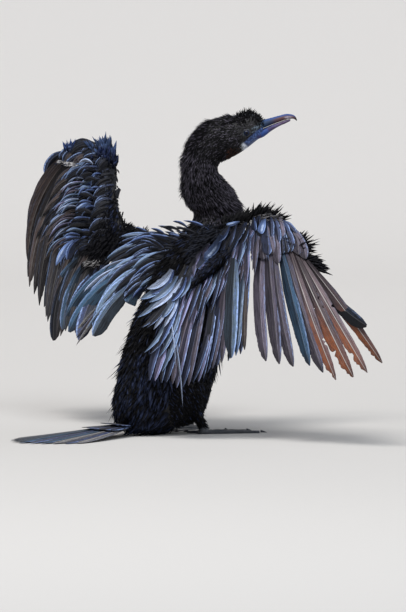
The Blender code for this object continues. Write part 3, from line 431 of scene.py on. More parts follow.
def head_ring(station, count, shrink):
    reach, height, lean, wide, deep = station
    lean = math.radians(lean)
    left = head_point(0, 1, 0)
    axis = head_point(math.sin(lean), 0, math.cos(lean))
    centre = head_point(reach, 0, height)
    return oval(centre, left * (wide - shrink), np.cross(axis, left) * (deep - shrink), count)


def joints_of(wing):
    s, e, w, h = (wing[key] for key in ("shoulder", "elbow", "wrist", "hand"))
    arm_up = unit(np.cross(w - e, s - e)) * -wing["side"]
    chord = w - s
    nearest = s + chord * (np.dot(e - s, chord) / np.dot(chord, chord))
    return s, e, w, h, arm_up, mix(nearest, e, wing["front_hollow"])


# The body's own way up, and how far the wing's flesh reaches behind and before its joints.
BODY_AXIS = (0.45, 0, 0.89)
CHORD_SHOULDER, CHORD_ELBOW, CHORD_WRIST, CHORD_HAND = 12, 4, (5, 6), 3


def key_chords(wing):
    """Rear edge, front edge and upper side of the flesh at the shoulder, elbow, wrist and hand tip."""
    s, e, w, h, arm_up, front = joints_of(wing)
    side = wing["side"]
    along = np.array(BODY_AXIS)
    out = unit(e - front)
    run = unit(unit(w - e) + unit(h - w))
    trail = wing["secondary_tips"][0] + wing["primary_tips"][0] - w * 2
    trail = unit(trail - run * np.dot(trail, run))
    reach = h - w
    fan = wing["primary_tips"][2] - h
    fan = unit(fan - reach * (np.dot(fan, reach) / np.dot(reach, reach)))
    return {
        "shoulder": (
            s - along * CHORD_SHOULDER, s + along * CHORD_SHOULDER, unit(np.cross(e - s, along)) * -side,
        ),
        "elbow": (e + out * CHORD_ELBOW, front, arm_up),
        "wrist": (w + trail * CHORD_WRIST[0], w - trail * CHORD_WRIST[1], unit(np.cross(run, trail)) * side),
        "hand": (h + fan * CHORD_HAND, h - fan * CHORD_HAND, unit(np.cross(reach, fan)) * side),
    }


LENGTHS = {"plume": ("elbow", "shoulder"), "secondary": ("wrist", "elbow"), "primary": ("wrist", "hand")}
THICKNESS = {"shoulder": 17.0, "elbow": 10.0, "wrist": 9.5, "hand": 4.5}
FLESH_TAPER = -0.3


def chord_at(wing, kind, t):
    """Rear edge, front edge, upper side and thickness of the flesh, t of the way along one length."""
    chords = key_chords(wing)
    near, far = LENGTHS[kind]
    rear, ahead, up = (mix(a, b, t) for a, b in zip(chords[near], chords[far]))
    return rear, ahead, unit(up), mix(THICKNESS[near], THICKNESS[far], t)


def bone_at(wing, kind, t):
    s, e, w, h = (wing[key] for key in ("shoulder", "elbow", "wrist", "hand"))
    near, far = {"plume": (e, s), "secondary": (w, e), "primary": (w, h)}[kind]
    run = (far - near) if kind == "primary" else (near - far)
    return mix(near, far, t), unit(run)


def row_tip(wing, kind, t):
    if kind == "primary":
        last = 1 - 1 / PRIMARIES
        inner = through(wing["primary_tips"], min(t, last) / last)
        return mix(inner, wing["outermost_tip"], min(max(t - last, 0) * PRIMARIES * 2, 1))
    return through(wing[kind + "_tips"], t)


def row_up(wing, kind, t, place):
    root, run = bone_at(wing, kind, place)
    return unit(np.cross(run, row_tip(wing, kind, t) - root) * wing["side"])


def long_line(wing, kind, span, bow=4.0):
    """The surface that the long feathers of one row lie on, as a function of place in the row and length."""
    def line(s, t):
        place = mix(*span, s)
        root, _ = bone_at(wing, kind, place)
        up = row_up(wing, kind, s, place)
        tip = row_tip(wing, kind, s)
        return bent(root, mix(root, tip, 0.5) + up * bow, tip, t)

    return line


def seen(across, down, depth):
    """The point that the photo shows at a pixel, at a depth behind the bird frame's origin."""
    right, up, away = look_of(AZIMUTH, ELEVATION)
    return right * (across - ORIGIN_PIXEL[0]) * PIXEL + up * (ORIGIN_PIXEL[1] - down) * PIXEL + away * depth


def sheet_of(wing):
    """Pixels and depths of points all over the surface of a wing's long feathers."""
    right, up, away = look_of(AZIMUTH, ELEVATION)
    spans = (("primary", PRIMARY_SPAN), ("secondary", SECONDARY_SPAN), ("plume", PLUME_SPAN))
    steps = np.linspace(0, 1, 9)
    points = np.concatenate([long_line(wing, kind, span)(s, steps) for kind, span in spans for s in steps])
    across = points @ right / PIXEL + ORIGIN_PIXEL[0]
    down = ORIGIN_PIXEL[1] - points @ up / PIXEL
    return np.stack([across, down, points @ away], 1)


def over(sheet, place):
    """The point at a pixel and a height over a wing's surface, or at a depth where there is no surface."""
    across, down, lift = place
    if sheet is None:
        return seen(across, down, lift)
    weight = 1 / ((sheet[:, 0] - across) ** 2 + (sheet[:, 1] - down) ** 2 + SHEET_BLUR) ** 2
    return seen(across, down, (weight * sheet[:, 2]).sum() / weight.sum() - lift)


# How far the feathers of a kind of row stray, in pixels, and how uneven their lengths are.
LOOSE = {
    "long": (0.5, 0.0), "covert": (1.8, 0.16), "blob": (0.5, 0.1), "plume": (1.2, 0.12), "mantle": (2.6, 0.2),
}
# Half the step, in pixels, by which a wing's slope is felt.
SLOPE_STEP = 8


def between_stations(line, s):
    """The station s of the way along a row, or the row's only one."""
    return spline(line, s) if len(line) > 1 else np.array(line[0], float)


def middle_of(start, end, curl, outer):
    """The station halfway along a feather that bends outwards by the share curl of its length."""
    chord = end[:2] - start[:2]
    aside = np.array([-chord[1], chord[0]])
    aside *= np.sign(aside[0] * outer[0] - aside[1] * outer[1])
    return (start + end) / 2 + [*(aside * curl), 1.0]


def facing(sheet, middle, away):
    """The way that a feather's upper side faces: half towards the camera, half off the wing's surface."""
    if sheet is None:
        return -away
    steps = ((SLOPE_STEP, 0, 0), (0, SLOPE_STEP, 0))
    cross = np.cross(*(over(sheet, middle + step) - over(sheet, middle - step) for step in steps))
    return unit(-away * 0.5 + unit(cross * np.sign(np.dot(cross, -away))))


def lay_rows(name, rows, sheet, outer, settings, seed):
    """One joined piece of all the rows over a wing's surface."""
    chance = np.random.default_rng(SEED + seed)
    right, up, away = look_of(AZIMUTH, ELEVATION)
    piece = Gathered(name)
    shapes, index, total = {}, 0, sum(row[1] for row in rows)
    sideways = right * outer[0] + up * outer[1]
    for kind, count, roots, tips, width, outline, curls, paints, cuts, rag in rows:
        shape = shapes.setdefault(cuts, Template(cuts, VANE_COLUMNS))
        paints = paints.split()
        loose, uneven = LOOSE[kind]
        loose *= settings.ruffle
        for k in range(count):
            s = k / (count - 1) if count > 1 else 0.5
            start, end = between_stations(roots, s), between_stations(tips, s)
            if count > 1:
                start += chance.normal(0, 1, 3) * [loose, loose, 0.2]
                end += chance.normal(0, 1, 3) * [loose, loose * 1.5, 0.4]
                end += (end - start) * chance.uniform(-1, 0.6) * uneven
            curl = np.interp(s, np.linspace(0, 1, len(curls)), curls) + chance.normal(0, 0.015) * (count > 1)
            middle = middle_of(start, end, curl, outer)
            root, through_point, tip = (over(sheet, place) for place in (start, middle, end))
            centre = bent(root, through_point * 2 - (root + tip) / 2, tip, CENTRE_STEPS)
            paint = paints[k] if len(paints) == count else paints[chance.integers(len(paints))]
            tone, marks = (np.array(value, float) for value in PAINTS[paint])
            feather(
                piece, shape, centre, facing(sheet, middle, away), sideways, chance,
                width * settings.width * chance.uniform(0.9, 1.1), outline, tone * chance.uniform(*SHADES),
                marks, (index, total), rag=rag * (0.5 + marks[1] * 0.5),
                tilt=0.2 + chance.normal(0, 0.07), splits=0.3 + marks[1] * 1.2,
            )
            index += 1
    return piece.make(finish_of("vanes", vane_finish))


def finish_of(name, maker):
    """The finish of that name, made the first time that it is asked for."""
    return bpy.data.materials.get(name) or maker(name)


class Template:
    """A flat closed shape one long, two across and one thick, which every feather of a kind is bent from."""

    def __init__(self, rows, columns):
        bm = bmesh.new()
        bmesh.ops.create_grid(bm, x_segments=rows, y_segments=len(columns) - 1, size=0.5)
        for vert in bm.verts:
            vert.co.x += 0.5
            place = (vert.co.y + 0.5) * (len(columns) - 1)
            k = min(int(place + 1e-4), len(columns) - 2)
            vert.co.y = mix(columns[k], columns[k + 1], place - k)
        bmesh.ops.recalc_face_normals(bm, faces=bm.faces[:])
        bmesh.ops.solidify(bm, geom=bm.faces[:], thickness=1.0)
        bmesh.ops.recalc_face_normals(bm, faces=bm.faces[:])
        heights = [vert.co.z for vert in bm.verts]
        middle = (min(heights) + max(heights)) / 2
        bm.verts.index_update()
        self.points = np.array([(v.co.x, v.co.y, v.co.z - middle) for v in bm.verts])
        self.faces = [[v.index for v in face.verts] for face in bm.faces]
        self.rows = rows
        bm.free()


class Gathered:
    """The points, faces and paint of one joined piece."""

    def __init__(self, name):
        self.name = name
        self.points, self.loops, self.sizes, self.vane, self.patch = [], [], [], [], []
        self.tone, self.marks = [], []
        self.count = 0

    def add(self, points, faces, vane, tone, marks, patch):
        self.points.append(points)
        for face in faces:
            self.loops.extend([k + self.count for k in face])
            self.sizes.append(len(face))
        self.vane.append(vane)
        self.tone.append(np.broadcast_to(tone, (len(points), 3)))
        self.marks.append(np.broadcast_to(marks, (len(points), 4)))
        self.patch.append(patch)
        self.count += len(points)

    def make(self, material):
        """Makes the object, with its shading map, its bake map and its paint."""
        points, vane, patch, tone, marks = (
            np.concatenate(values) for values in (self.points, self.vane, self.patch, self.tone, self.marks)
        )
        loops, sizes = np.array(self.loops), np.array(self.sizes)
        made = mesh_object(self.name, (points + PLACE) * MM, loops, sizes, vane, patch, tone, marks, material)
        made.data.set_sharp_from_angle(angle=math.radians(50))
        return made


def mesh_object(name, points, loops, sizes, vane, patch, tone, marks, material):
    mesh = bpy.data.meshes.new(name)
    mesh.vertices.add(len(points))
    mesh.vertices.foreach_set("co", np.ascontiguousarray(points, np.float32).ravel())
    mesh.loops.add(len(loops))
    mesh.loops.foreach_set("vertex_index", loops.astype(np.int32))
    starts = np.concatenate([[0], np.cumsum(sizes)[:-1]]).astype(np.int32)
    mesh.polygons.add(len(sizes))
    mesh.polygons.foreach_set("loop_start", starts)
    for label, values in (("Vane", vane), ("OFBake", patch)):
        layer = mesh.uv_layers.new(name=label)
        layer.data.foreach_set("uv", np.ascontiguousarray(values[loops], np.float32).ravel())
    for label, values in (("tone", tone), ("marks", marks)):
        layer = mesh.color_attributes.new(label, "FLOAT_COLOR", "POINT")
        filled = np.ones((len(values), 4))
        filled[:, :values.shape[1]] = values
        layer.data.foreach_set("color", np.ascontiguousarray(filled, np.float32).ravel())
    mesh.update(calc_edges=True)
    mesh.shade_smooth()
    mesh.materials.append(material)
    obj = bpy.data.objects.new(name, mesh)
    bpy.context.scene.collection.objects.link(obj)
    return obj


def feather(piece, shape, centre, normal, outer, chance, width, outline, tone, marks, patch, **looks):
    """Bends one feather along the points of centre and adds it to the piece.

    normal is the way that its upper side faces, and outer the way that its outer web lies. looks gives the
    tilt about the shaft, the rag of the end, and if need be the number of splits.
    """
    knots = np.linspace(0, 1, len(centre))
    ahead = np.gradient(centre, knots, axis=0)
    across = unit(np.cross(ahead, normal))
    across = across * np.sign(np.sum(across * outer))
    upper = unit(np.cross(across, ahead))
    upper = upper * np.sign(np.sum(upper * normal))
    tilt = looks["tilt"]
    across, upper = unit(across + upper * tilt), unit(upper - across * tilt)
    length = np.linalg.norm(np.diff(centre, axis=0), axis=1).sum()

    x, y, z = shape.points.T
    half = width * table(outline, x) * np.where(y > 0, OUTER_WEB, 1 - OUTER_WEB)
    rows = shape.rows + 1
    places = np.linspace(0, 1, rows)
    waves = np.linspace(0, 1, 7)
    rough = chance.normal(0, 0.05, (len(waves), 2))
    notches = np.stack([np.interp(places, waves, rough[:, k]) for k in (0, 1)], 1)
    frayed = np.clip((places - 0.55) / 0.45, 0, 1)[:, None]
    notches += chance.random((rows, 2)) * frayed * looks["rag"] * [1.3, 0.5]
    for _ in range(chance.poisson(looks.get("splits", 0.6))):
        notches[chance.integers(rows // 3, rows), chance.integers(2)] += chance.uniform(0.25, 0.75)
    row = np.round(x * shape.rows).astype(int)
    nick = np.clip(notches[row, (y > 0).astype(int)], -0.2, 0.9)
    side = y * (1 - nick * np.abs(y) ** 2) * half
    t = np.clip(x + BARB_SLANT * np.abs(side) / length * (1 - x ** 3) * (x > 0.02), 0, 1)
    spine, across, upper = (
        np.stack([np.interp(t, knots, values[:, k]) for k in range(3)], 1)
        for values in (centre, across, upper)
    )
    shaft = np.exp(-(y / 0.09) ** 2) * 0.32 * (1 - 0.8 * x) * np.sign(z)
    body = z * VANE_THICKNESS * (1 - 0.7 * np.abs(y)) * (1 - 0.5 * x)
    bulge = CAMBER * np.abs(half) * (0.35 - y ** 2)
    points = spine + across * side[:, None] + upper * (body + bulge + shaft)[:, None]
    vane = np.stack([(y + 1) / 2, x], 1)
    piece.add(points, shape.faces, vane, tone, [*marks, chance.random()], patch_of(vane, *patch))


def patch_of(vane, index, total):
    """The feather's own cell of the bake map."""
    columns = max(1, int(math.sqrt(total * 3)))
    rows = math.ceil(total / columns)
    column, row = index % columns, index // columns
    inner = 0.05 + vane * 0.9
    return np.stack([(column + inner[:, 0]) / columns, (row + inner[:, 1]) / rows], 1)


class Wire:
    """A value in a material's node tree, so that its maths reads as Python."""

    def __init__(self, tree, socket):
        self.tree, self.socket = tree, socket

    def maths(self, operation, *values):
        node = self.tree.nodes.new("ShaderNodeMath")
        node.operation = operation
        for socket, value in zip(node.inputs, values):
            if isinstance(value, Wire):
                self.tree.links.new(value.socket, socket)
            else:
                socket.default_value = value
        return Wire(self.tree, node.outputs[0])

    def __add__(self, other):
        return self.maths("ADD", self, other)

    __radd__ = __add__

    def __mul__(self, other):
        return self.maths("MULTIPLY", self, other)

    __rmul__ = __mul__

    def __sub__(self, other):
        return self.maths("SUBTRACT", self, other)

    def __rsub__(self, other):
        return self.maths("SUBTRACT", other, self)

    def size(self):
        return self.maths("ABSOLUTE", self)

    def sine(self):
        return self.maths("SINE", self)

    def between(self, low, high):
        """0 below low and 1 above high, smoothly."""
        node = self.tree.nodes.new("ShaderNodeMapRange")
        node.interpolation_type = "SMOOTHSTEP"
        self.tree.links.new(self.socket, node.inputs["Value"])
        node.inputs["From Min"].default_value = low
        node.inputs["From Max"].default_value = high
        return Wire(self.tree, node.outputs["Result"])


class Finish:
    """One material: a Principled shader and the few kinds of node that feed it."""

    def __init__(self, name, **sockets):
        self.material = bpy.data.materials.new(name)
        self.material.use_nodes = True
        self.tree = self.material.node_tree
        self.shader = self.tree.nodes["Principled BSDF"]
        for socket, value in sockets.items():
            self.shader.inputs[socket.replace("_", " ")].default_value = value

    def node(self, kind, settings=(), **sockets):
        """Any node: its type, its settings, and the values or links of its sockets."""
        node = self.tree.nodes.new(kind)
        for key, value in dict(settings).items():
            setattr(node, key, value)
        for key, value in sockets.items():
            self.feed(node.inputs[key.replace("_", " ")], value)
        return node

    def feed(self, socket, value):
        if isinstance(value, Wire):
            self.tree.links.new(value.socket, socket)
        elif isinstance(value, bpy.types.NodeSocket):
            self.tree.links.new(value, socket)
        else:
            socket.default_value = value

    def wire(self, socket):
        return Wire(self.tree, socket)

    def blend(self, a, b, factor, mode="MIX"):
        """A colour a share factor of the way from a to b."""
        node = self.node("ShaderNodeMix", {"data_type": "RGBA", "blend_type": mode})
        self.feed(node.inputs[0], factor)
        for socket, value in ((node.inputs[6], a), (node.inputs[7], b)):
            self.feed(socket, (*value, 1) if isinstance(value, tuple) and len(value) == 3 else value)
        return node.outputs[2]

    def attribute(self, name, part="Color"):
        return self.node("ShaderNodeAttribute", {"attribute_name": name}).outputs[part]

    def parts(self, vector):
        """The three parts of a vector or colour."""
        node = self.node("ShaderNodeSeparateXYZ", Vector=vector)
        return [self.wire(socket) for socket in node.outputs]

    def place(self):
        """Object coordinates."""
        return self.node("ShaderNodeTexCoord").outputs["Object"]

    def map(self, name):
        return self.node("ShaderNodeUVMap", {"uv_map": name}).outputs["UV"]

    def noise(self, vector, scale, detail=3.0, **sockets):
        node = self.node("ShaderNodeTexNoise", Vector=vector, Scale=scale, Detail=detail, **sockets)
        return self.wire(node.outputs["Fac"])

    def combine(self, x, y, z=0.0):
        return self.node("ShaderNodeCombineXYZ", X=x, Y=y, Z=z).outputs[0]

    def finish(self, colour, roughness=None, height=None, strength=0.3, distance=0.0003):
        self.feed(self.shader.inputs["Base Color"], colour)
        if roughness is not None:
            self.feed(self.shader.inputs["Roughness"], roughness)
        if height is not None:
            bump = self.node("ShaderNodeBump", Height=height, Strength=strength, Distance=distance)
            self.feed(self.shader.inputs["Normal"], bump.outputs[0])
        return self.material


def vane_finish(name):
    """Feather vanes: barbs slanting from a pale shaft, worn, rufous or dark tips, painted shade on the inner
    web and at the root, and on glossy feathers a painted sheen and painted highlights.

    The paint attribute tone is the feather's colour. In marks, red is the gloss, which sets the painted sheen
    and highlights, green the rufous of the inner web, blue the wear and alpha a number of the feather's own.
    """
    f = Finish(name, Roughness=0.45, Specular_IOR_Level=0.2)
    across, along, _ = f.parts(f.map("Vane"))
    gloss, rufous, wear = f.parts(f.attribute("marks"))
    own = f.wire(f.attribute("marks", "Alpha")) * 40
    off = (across - 0.5).size() * 2
    ripple = f.noise(f.combine(across * 3, along * 12, own), 4.0) * 6
    barb = (along * 260 - off * 26 + ripple).sine() * 0.5 + 0.5
    coarse = f.noise(f.combine(across * 5 - along * 2, along * 9, own), 3.0, 4.0)
    streak = f.noise(f.combine(across * 9, along * 1.5, own), 3.0, 3.0)
    fine = f.noise(f.combine(across * 26 - along * 3, along * 5, own), 3.0, 2.0)
    black = (0.0025, 0.0025, 0.004)

    outer = across.between(0.44, 0.54)
    # Painted shade: the inner web, in the shadow of the feather that overlaps it, darkened towards black.
    dull_fleck_and_painted_shade = (1 - outer) * (gloss * 0.4 + 0.5) * (1 - rufous * 0.4) * (1 - gloss.between(0.9, 1.0) * 0.5)
    matt = 1 - gloss.between(0.8, 1.0) * 0.3
    colour = f.blend(f.attribute("tone"), black, dull_fleck_and_painted_shade)
    colour = f.blend(colour, black, streak.between(0.46, 0.62) * 0.8 * matt)
    colour = f.blend(colour, black, fine.between(0.48, 0.66) * 0.6 * matt)
    # Painted shade towards each feather's root, where the feathers over it cover it.
    colour = f.blend(colour, black, (1 - along.between(0.0, 0.45)) * 0.6)

    # Painted highlight: a pale blue line near the outer edge of each feather, as strong as its gloss.
    edge = across.between(0.78, 0.90) * (1 - across.between(0.95, 1.0)) * along.between(0.15, 0.5)
    glint = gloss * (0.3 + coarse.between(0.42, 0.62) * 1.2)
    colour = f.blend(colour, (0.40, 0.56, 0.96), edge * glint.maths("MINIMUM", glint, 1.0))
    # Painted sheen: blue patches over the outer web of glossy feathers.
    colour = f.blend(colour, (0.11, 0.175, 0.42), outer * gloss * coarse.between(0.50, 0.68) * 0.65)
    # Painted highlight: a pale stripe along the middle of the glossiest feathers.
    painted_highlight_stripe = across.between(0.30, 0.48) * (1 - across.between(0.55, 0.75)) * along.between(0.3, 0.55)
    painted_highlight_stripe = painted_highlight_stripe * (1 - along.between(0.75, 0.95)) * (0.3 + coarse.between(0.4, 0.6) * 0.7)
    colour = f.blend(colour, (0.60, 0.74, 1.0), gloss.between(0.92, 1.0) * painted_highlight_stripe)

    inner = (1 - across.between(0.42, 0.5)) * along.between(0.35, 0.7) * rufous
    colour = f.blend(colour, (0.25, 0.074, 0.024), inner * (1 - fine.between(0.44, 0.62) * 0.9))
    colour = f.blend(colour, (0.13, 0.042, 0.022), (1 - inner) * rufous * along.between(0.55, 0.9) * 0.6)
    tip = along.between(0.86, 1.0) * (1 - wear) * (1 - gloss * 0.8) * 0.7
    colour = f.blend(colour, (0.008, 0.007, 0.009), tip)
    colour = f.blend(colour, (0.36, 0.34, 0.32), wear * coarse.between(0.45, 0.7) * along.between(0.3, 1.0))

    colour = f.blend(colour, black, barb.between(0.55, 1.0) * 0.25)
    colour = f.blend(colour, black, off.between(0.9, 1.0) * 0.8 * (1 - gloss))
    shaft = (1 - off.between(0.02, 0.07)) * (0.08 + wear * 0.7 + rufous * 0.5) * along.between(0.08, 0.3)
    colour = f.blend(colour, (0.5, 0.48, 0.46), shaft)
    return f.finish(colour, 0.38 + coarse * 0.25, barb * 0.6 + coarse + fine, 0.4)


def coat_finish(name):
    """Body plumage: each small feather darker at its root."""
    f = Finish(name, Roughness=0.6, Specular_IOR_Level=0.11)
    _, along, _ = f.parts(f.map("Vane"))
    fleck = f.noise(f.place(), 420.0, 2.0)
    colour = f.blend(f.attribute("tone"), (0.002, 0.002, 0.003), (1 - along.between(0.1, 0.85)) * 0.8)
    return f.finish(colour, 0.45 + fleck * 0.35)


def skin_finish():
    """The skin under the coat, with the bare parts of the face."""
    f = Finish("skin", Roughness=0.6, Specular_IOR_Level=0.3)
    place = f.place()
    grain = f.noise(place, 900.0)
    folds = f.noise(place, 620.0, 4.0)
    lores, base, chin = f.parts(f.attribute("face"))
    plain = f.blend((0.004, 0.004, 0.005), (0.012, 0.011, 0.011), grain)
    olive = f.blend((0.003, 0.005, 0.008), (0.080, 0.105, 0.135), folds.between(0.46, 0.62))
    horn = f.blend((0.010, 0.024, 0.085), (0.055, 0.105, 0.27), folds.between(0.42, 0.62))
    colour = f.blend(f.blend(plain, olive, lores), (0.60, 0.64, 0.72), chin)
    colour = f.blend(colour, horn, base)
    return f.finish(colour, 0.6 - base * 0.2, grain + folds, 0.5)


def bill_finish(name, upper):
    """Horn with a blue ridge, pinkish sides, a dark nail and, on the upper half, a painted highlight near the
    tip.
    """
    f = Finish(name, Roughness=0.5, Specular_IOR_Level=0.1)
    around, along, _ = f.parts(f.map("Vane"))
    place = f.place()
    grain = f.noise(f.combine(around * 6, along * 30), 3.0, 4.0)
    mottle = f.noise(place, 300.0, 3.0)
    if upper:
        side = f.blend((0.022, 0.034, 0.07), (0.085, 0.045, 0.048), along.between(0.35, 0.6))
        # Painted highlight: a pale band low on the sides near the tip, broken by the mottle.
        pale = along.between(0.66, 0.78) * (1 - along.between(0.84, 0.92))
        pale = pale * (1 - around.between(-0.02, 0.06)) * mottle.between(0.35, 0.6)
        side = f.blend(side, (0.36, 0.33, 0.40), pale)
        colour = f.blend(side, (0.028, 0.058, 0.180), around.between(0.03, 0.10))
        colour = f.blend(colour, (0.02, 0.046, 0.095), 1 - along.between(0.1, 0.4))
        colour = f.blend(colour, (0.012, 0.009, 0.010), along.between(0.93, 0.98))
    else:
        colour = f.blend((0.026, 0.060, 0.20), (0.105, 0.08, 0.14), along.between(0.35, 0.8))
        colour = f.blend(colour, (0.05, 0.03, 0.06), mottle.between(0.45, 0.65) * 0.7)
    colour = f.blend(colour, (0.015, 0.015, 0.022), grain.between(0.55, 0.8) * 0.5)
    return f.finish(colour, 0.40 + grain * 0.2, grain + mottle * 0.5, 0.25)


def foot_finish():
    """Dark scaled skin with finer creases on the webs."""
    f = Finish("foot_skin", Roughness=0.42, Specular_IOR_Level=0.5)
    place = f.place()
    scales = f.node("ShaderNodeTexVoronoi", {"feature": "DISTANCE_TO_EDGE"}, Vector=place, Scale=620.0)
    edge = f.wire(scales.outputs["Distance"]).between(0.0, 0.16)
    tint = f.noise(place, 120.0, 3.0)
    colour = f.blend((0.006, 0.007, 0.010), (0.028, 0.034, 0.048), tint)
    colour = f.blend(colour, (0.075, 0.078, 0.085), edge * 0.35)
    return f.finish(colour, 0.36 + tint * 0.2, edge, 0.5)


def lid_finish(name):
    """The bare lids: dark, with a faint variation."""
    f = Finish(name, Roughness=0.5)
    tint = f.noise(f.place(), 900.0, 2.0)
    return f.finish(f.blend((0.0043, 0.00516, 0.00774), (0.005, 0.006, 0.009), tint), 0.5)


def studio_finish(near, far):
    """Paper that grows paler towards the backdrop, which the lamps reach less."""
    f = Finish("studio", Roughness=0.95, Specular_IOR_Level=0.1)
    x, y, z = f.parts(f.place())
    turn = math.radians(AZIMUTH)
    back = y * math.cos(turn) - x * math.sin(turn)
    return f.finish(f.blend(near, far, (back + z * 0.6).between(-0.6, 2.9)))


def vector(point):
    return Vector(tuple(point))


def loft(bm, rings):
    """Bridges rings of points into a closed body with capped ends."""
    edges = []
    for ring in rings:
        made = bmesh.ops.create_circle(bm, segments=len(ring), radius=1)["verts"]
        for vert, point in zip(made, ring):
            vert.co = vector(point)
        edges.append(list({edge for vert in made for edge in vert.link_edges}))
    for near, far in zip(edges, edges[1:]):
        bmesh.ops.bridge_loops(bm, edges=near + far)
    for end in (edges[0], edges[-1]):
        bmesh.ops.contextual_create(bm, geom=end)
    bmesh.ops.recalc_face_normals(bm, faces=bm.faces[:])


def object_of(bm, name, material):
    """Makes an object of a mesh in millimetres."""
    bmesh.ops.recalc_face_normals(bm, faces=bm.faces[:])
    bmesh.ops.translate(bm, vec=vector(PLACE), verts=bm.verts[:])
    bmesh.ops.scale(bm, vec=(MM, MM, MM), verts=bm.verts[:])
    mesh = bpy.data.meshes.new(name)
    bm.to_mesh(mesh)
    bm.free()
    mesh.shade_smooth()
    if material:
        mesh.materials.append(material)
    obj = bpy.data.objects.new(name, mesh)
    bpy.context.scene.collection.objects.link(obj)
    return obj


def settle(obj, slot, *nodes):
    """The piece rides on the body and stands for the nodes, whose solids it hides; the slot is not used."""
    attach(obj, BODY)
    if nodes:
        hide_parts(*nodes)
    return obj


def applied(obj):
    """Gives the object the mesh that its modifiers make of it."""
    graph = bpy.context.evaluated_depsgraph_get()
    mesh = bpy.data.meshes.new_from_object(obj.evaluated_get(graph))
    worn = obj.data
    obj.modifiers.clear()
    obj.data = mesh
    bpy.data.meshes.remove(worn)
    return obj


def points_of(obj):
    """An object's corners in the bird's own frame."""
    points = np.empty(len(obj.data.vertices) * 3)
    obj.data.vertices.foreach_get("co", points)
    return points.reshape(-1, 3) / MM - PLACE


def skin_depth(t):
    """How deep the skin lies under the solids along the trunk, from rump to neck."""
    return table(((0, 3.5), (0.5, 4.0), (0.62, 2.6), (0.8, 1.6), (1, 1.2)), t)


# The face in the head's own plane, as reach and height: the line under the bare skin, its second station
# at the gape, the line over it, where it starts, the pale chin, and how soft the borders are.
MOUTH_LINE = ((38, 263.5), (40.2, 265.9), (50.8, 275.8), (57, 279.9), (60, 281.5))
LORES_TOP = ((44, 276.6), (47.8, 279.6), (58.9, 287.4))
LORES_START = 47.5
CHIN = (41.6, 260.8)
CHIN_RADIUS = 2.6
FACE_START = 30
MASK_BLUR = 1.2


def face_masks(spot):
    """The bare skin before the eye, the bare base of the lower bill and the pale chin, each from 0 to 1."""
    reach, side, height = head_frame(spot)
    edge, top = table(MOUTH_LINE, reach), table(LORES_TOP, reach)
    ring = np.hypot(reach - EYE_REACH, height - EYE_HEIGHT)
    lores = np.minimum(np.minimum(height - edge, top - height), reach - LORES_START)
    lores = np.maximum(lores, (EYE_RADIUS + 0.3 - ring) * (np.abs(side) > 4))
    gape_reach, gape_height = MOUTH_LINE[1]
    base = np.minimum(edge - height, (reach - gape_reach + (height - gape_height) * 0.97) * 0.7)
    chin_reach, chin_height = CHIN
    below = height - chin_height
    chin = CHIN_RADIUS - np.hypot((reach - chin_reach) + below * 0.35, below * 0.55)
    on_head = reach > FACE_START
    return [np.clip(mask / MASK_BLUR + 0.5, 0, 1) * on_head for mask in (lores, base, chin)]


def shank_of(side):
    """The hock and the ankle on one side."""
    return np.array(HOCK, float) * [1, side, 1], np.array(ANKLE, float) * [1, side, 1]


def make_skin(settings):
    """One skin over torso, neck, head, legs and the flesh of the wings."""
    bm = bmesh.new()
    rows = 70
    loft(bm, [body_ring(spline(TRUNK, k / rows), 40, skin_depth(k / rows)) for k in range(rows + 1)])
    rows = 24
    nape = head_ring((1.5, 255, 30, 14.6, 17), 36, 1.2)
    rings = [head_ring(spline(HEAD, k / rows), 36, mix(1.1, 0.3, k / rows)) for k in range(rows + 1)]
    loft(bm, [nape] + rings)
    for side in (1, -1):
        hock, ankle = shank_of(side)
        start = hock + (hock - ankle) * 0.6 + np.array([6, 0, 14])
        shank = []
        for t in np.linspace(0, 1, 12):
            radius = mix(13.5, 3.3, t ** 0.75)
            middle = bent(start, hock, ankle - [0, 0, 1.5], t)
            shank.append(oval(middle, np.array([radius, 0, 0]), np.array([0, radius * 0.85, 0]), 24))
        loft(bm, shank)
    for wing in (LEFT, RIGHT):
        for kind, low, high in (("plume", -0.04, 1.12), ("secondary", -0.03, 1.03), ("primary", -0.04, 1.04)):
            flesh = []
            for t in np.linspace(low, high, 14):
                rear, ahead, up, thick = chord_at(wing, kind, t)
                middle = (rear + ahead) / 2
                flesh.append(oval(middle, (ahead - rear) / 2 * 0.93, up * (thick / 2 * 0.8), 28, FLESH_TAPER))
            loft(bm, flesh)
    skin = object_of(bm, "skin", None)
    remesh = skin.modifiers.new("remesh", "REMESH")
    remesh.mode = "VOXEL"
    remesh.voxel_size = settings.skin_grain
    applied(skin)
    bm = bmesh.new()
    bm.from_mesh(skin.data)
    axes = {"use_axis_x": True, "use_axis_y": True, "use_axis_z": True}
    for _ in range(4):
        bmesh.ops.smooth_vert(bm, verts=bm.verts[:], factor=0.5, **axes)
    bm.to_mesh(skin.data)
    bm.free()
    skin.data.shade_smooth()
    masks = face_masks(points_of(skin))
    layer = skin.data.color_attributes.new("face", "FLOAT_COLOR", "POINT")
    layer.data.foreach_set("color", np.stack([*masks, np.ones(len(masks[0]))], 1).astype(np.float32).ravel())
    skin.data.materials.clear()
    skin.data.materials.append(skin_finish())
    return settle(skin, "plumage", "torso", "neck_lower", "neck_upper", "head", "leg_left", "leg_right")


# Parts of the coat, and for each the length, width, lift in degrees, and feathers in a square millimetre.
HEAD_COAT, NECK_COAT, BODY_COAT, LEG_COAT, PLUME_COAT, SECONDARY_COAT, PRIMARY_COAT = range(7)
COAT = np.array((
    (3.3, 0.9, 26, 1.3), (4.4, 1.05, 26, 1.0), (9.0, 2.0, 20, 0.30), (5.5, 1.6, 22, 0.55),
    (6.5, 2.2, 16, 0.42), (6.0, 2.2, 14, 0.42), (5.0, 2.0, 14, 0.5),
))
# How far the head, neck, body and legs reach from their middle line.
BODY_REACH = np.array([18, 18, 38, 9])


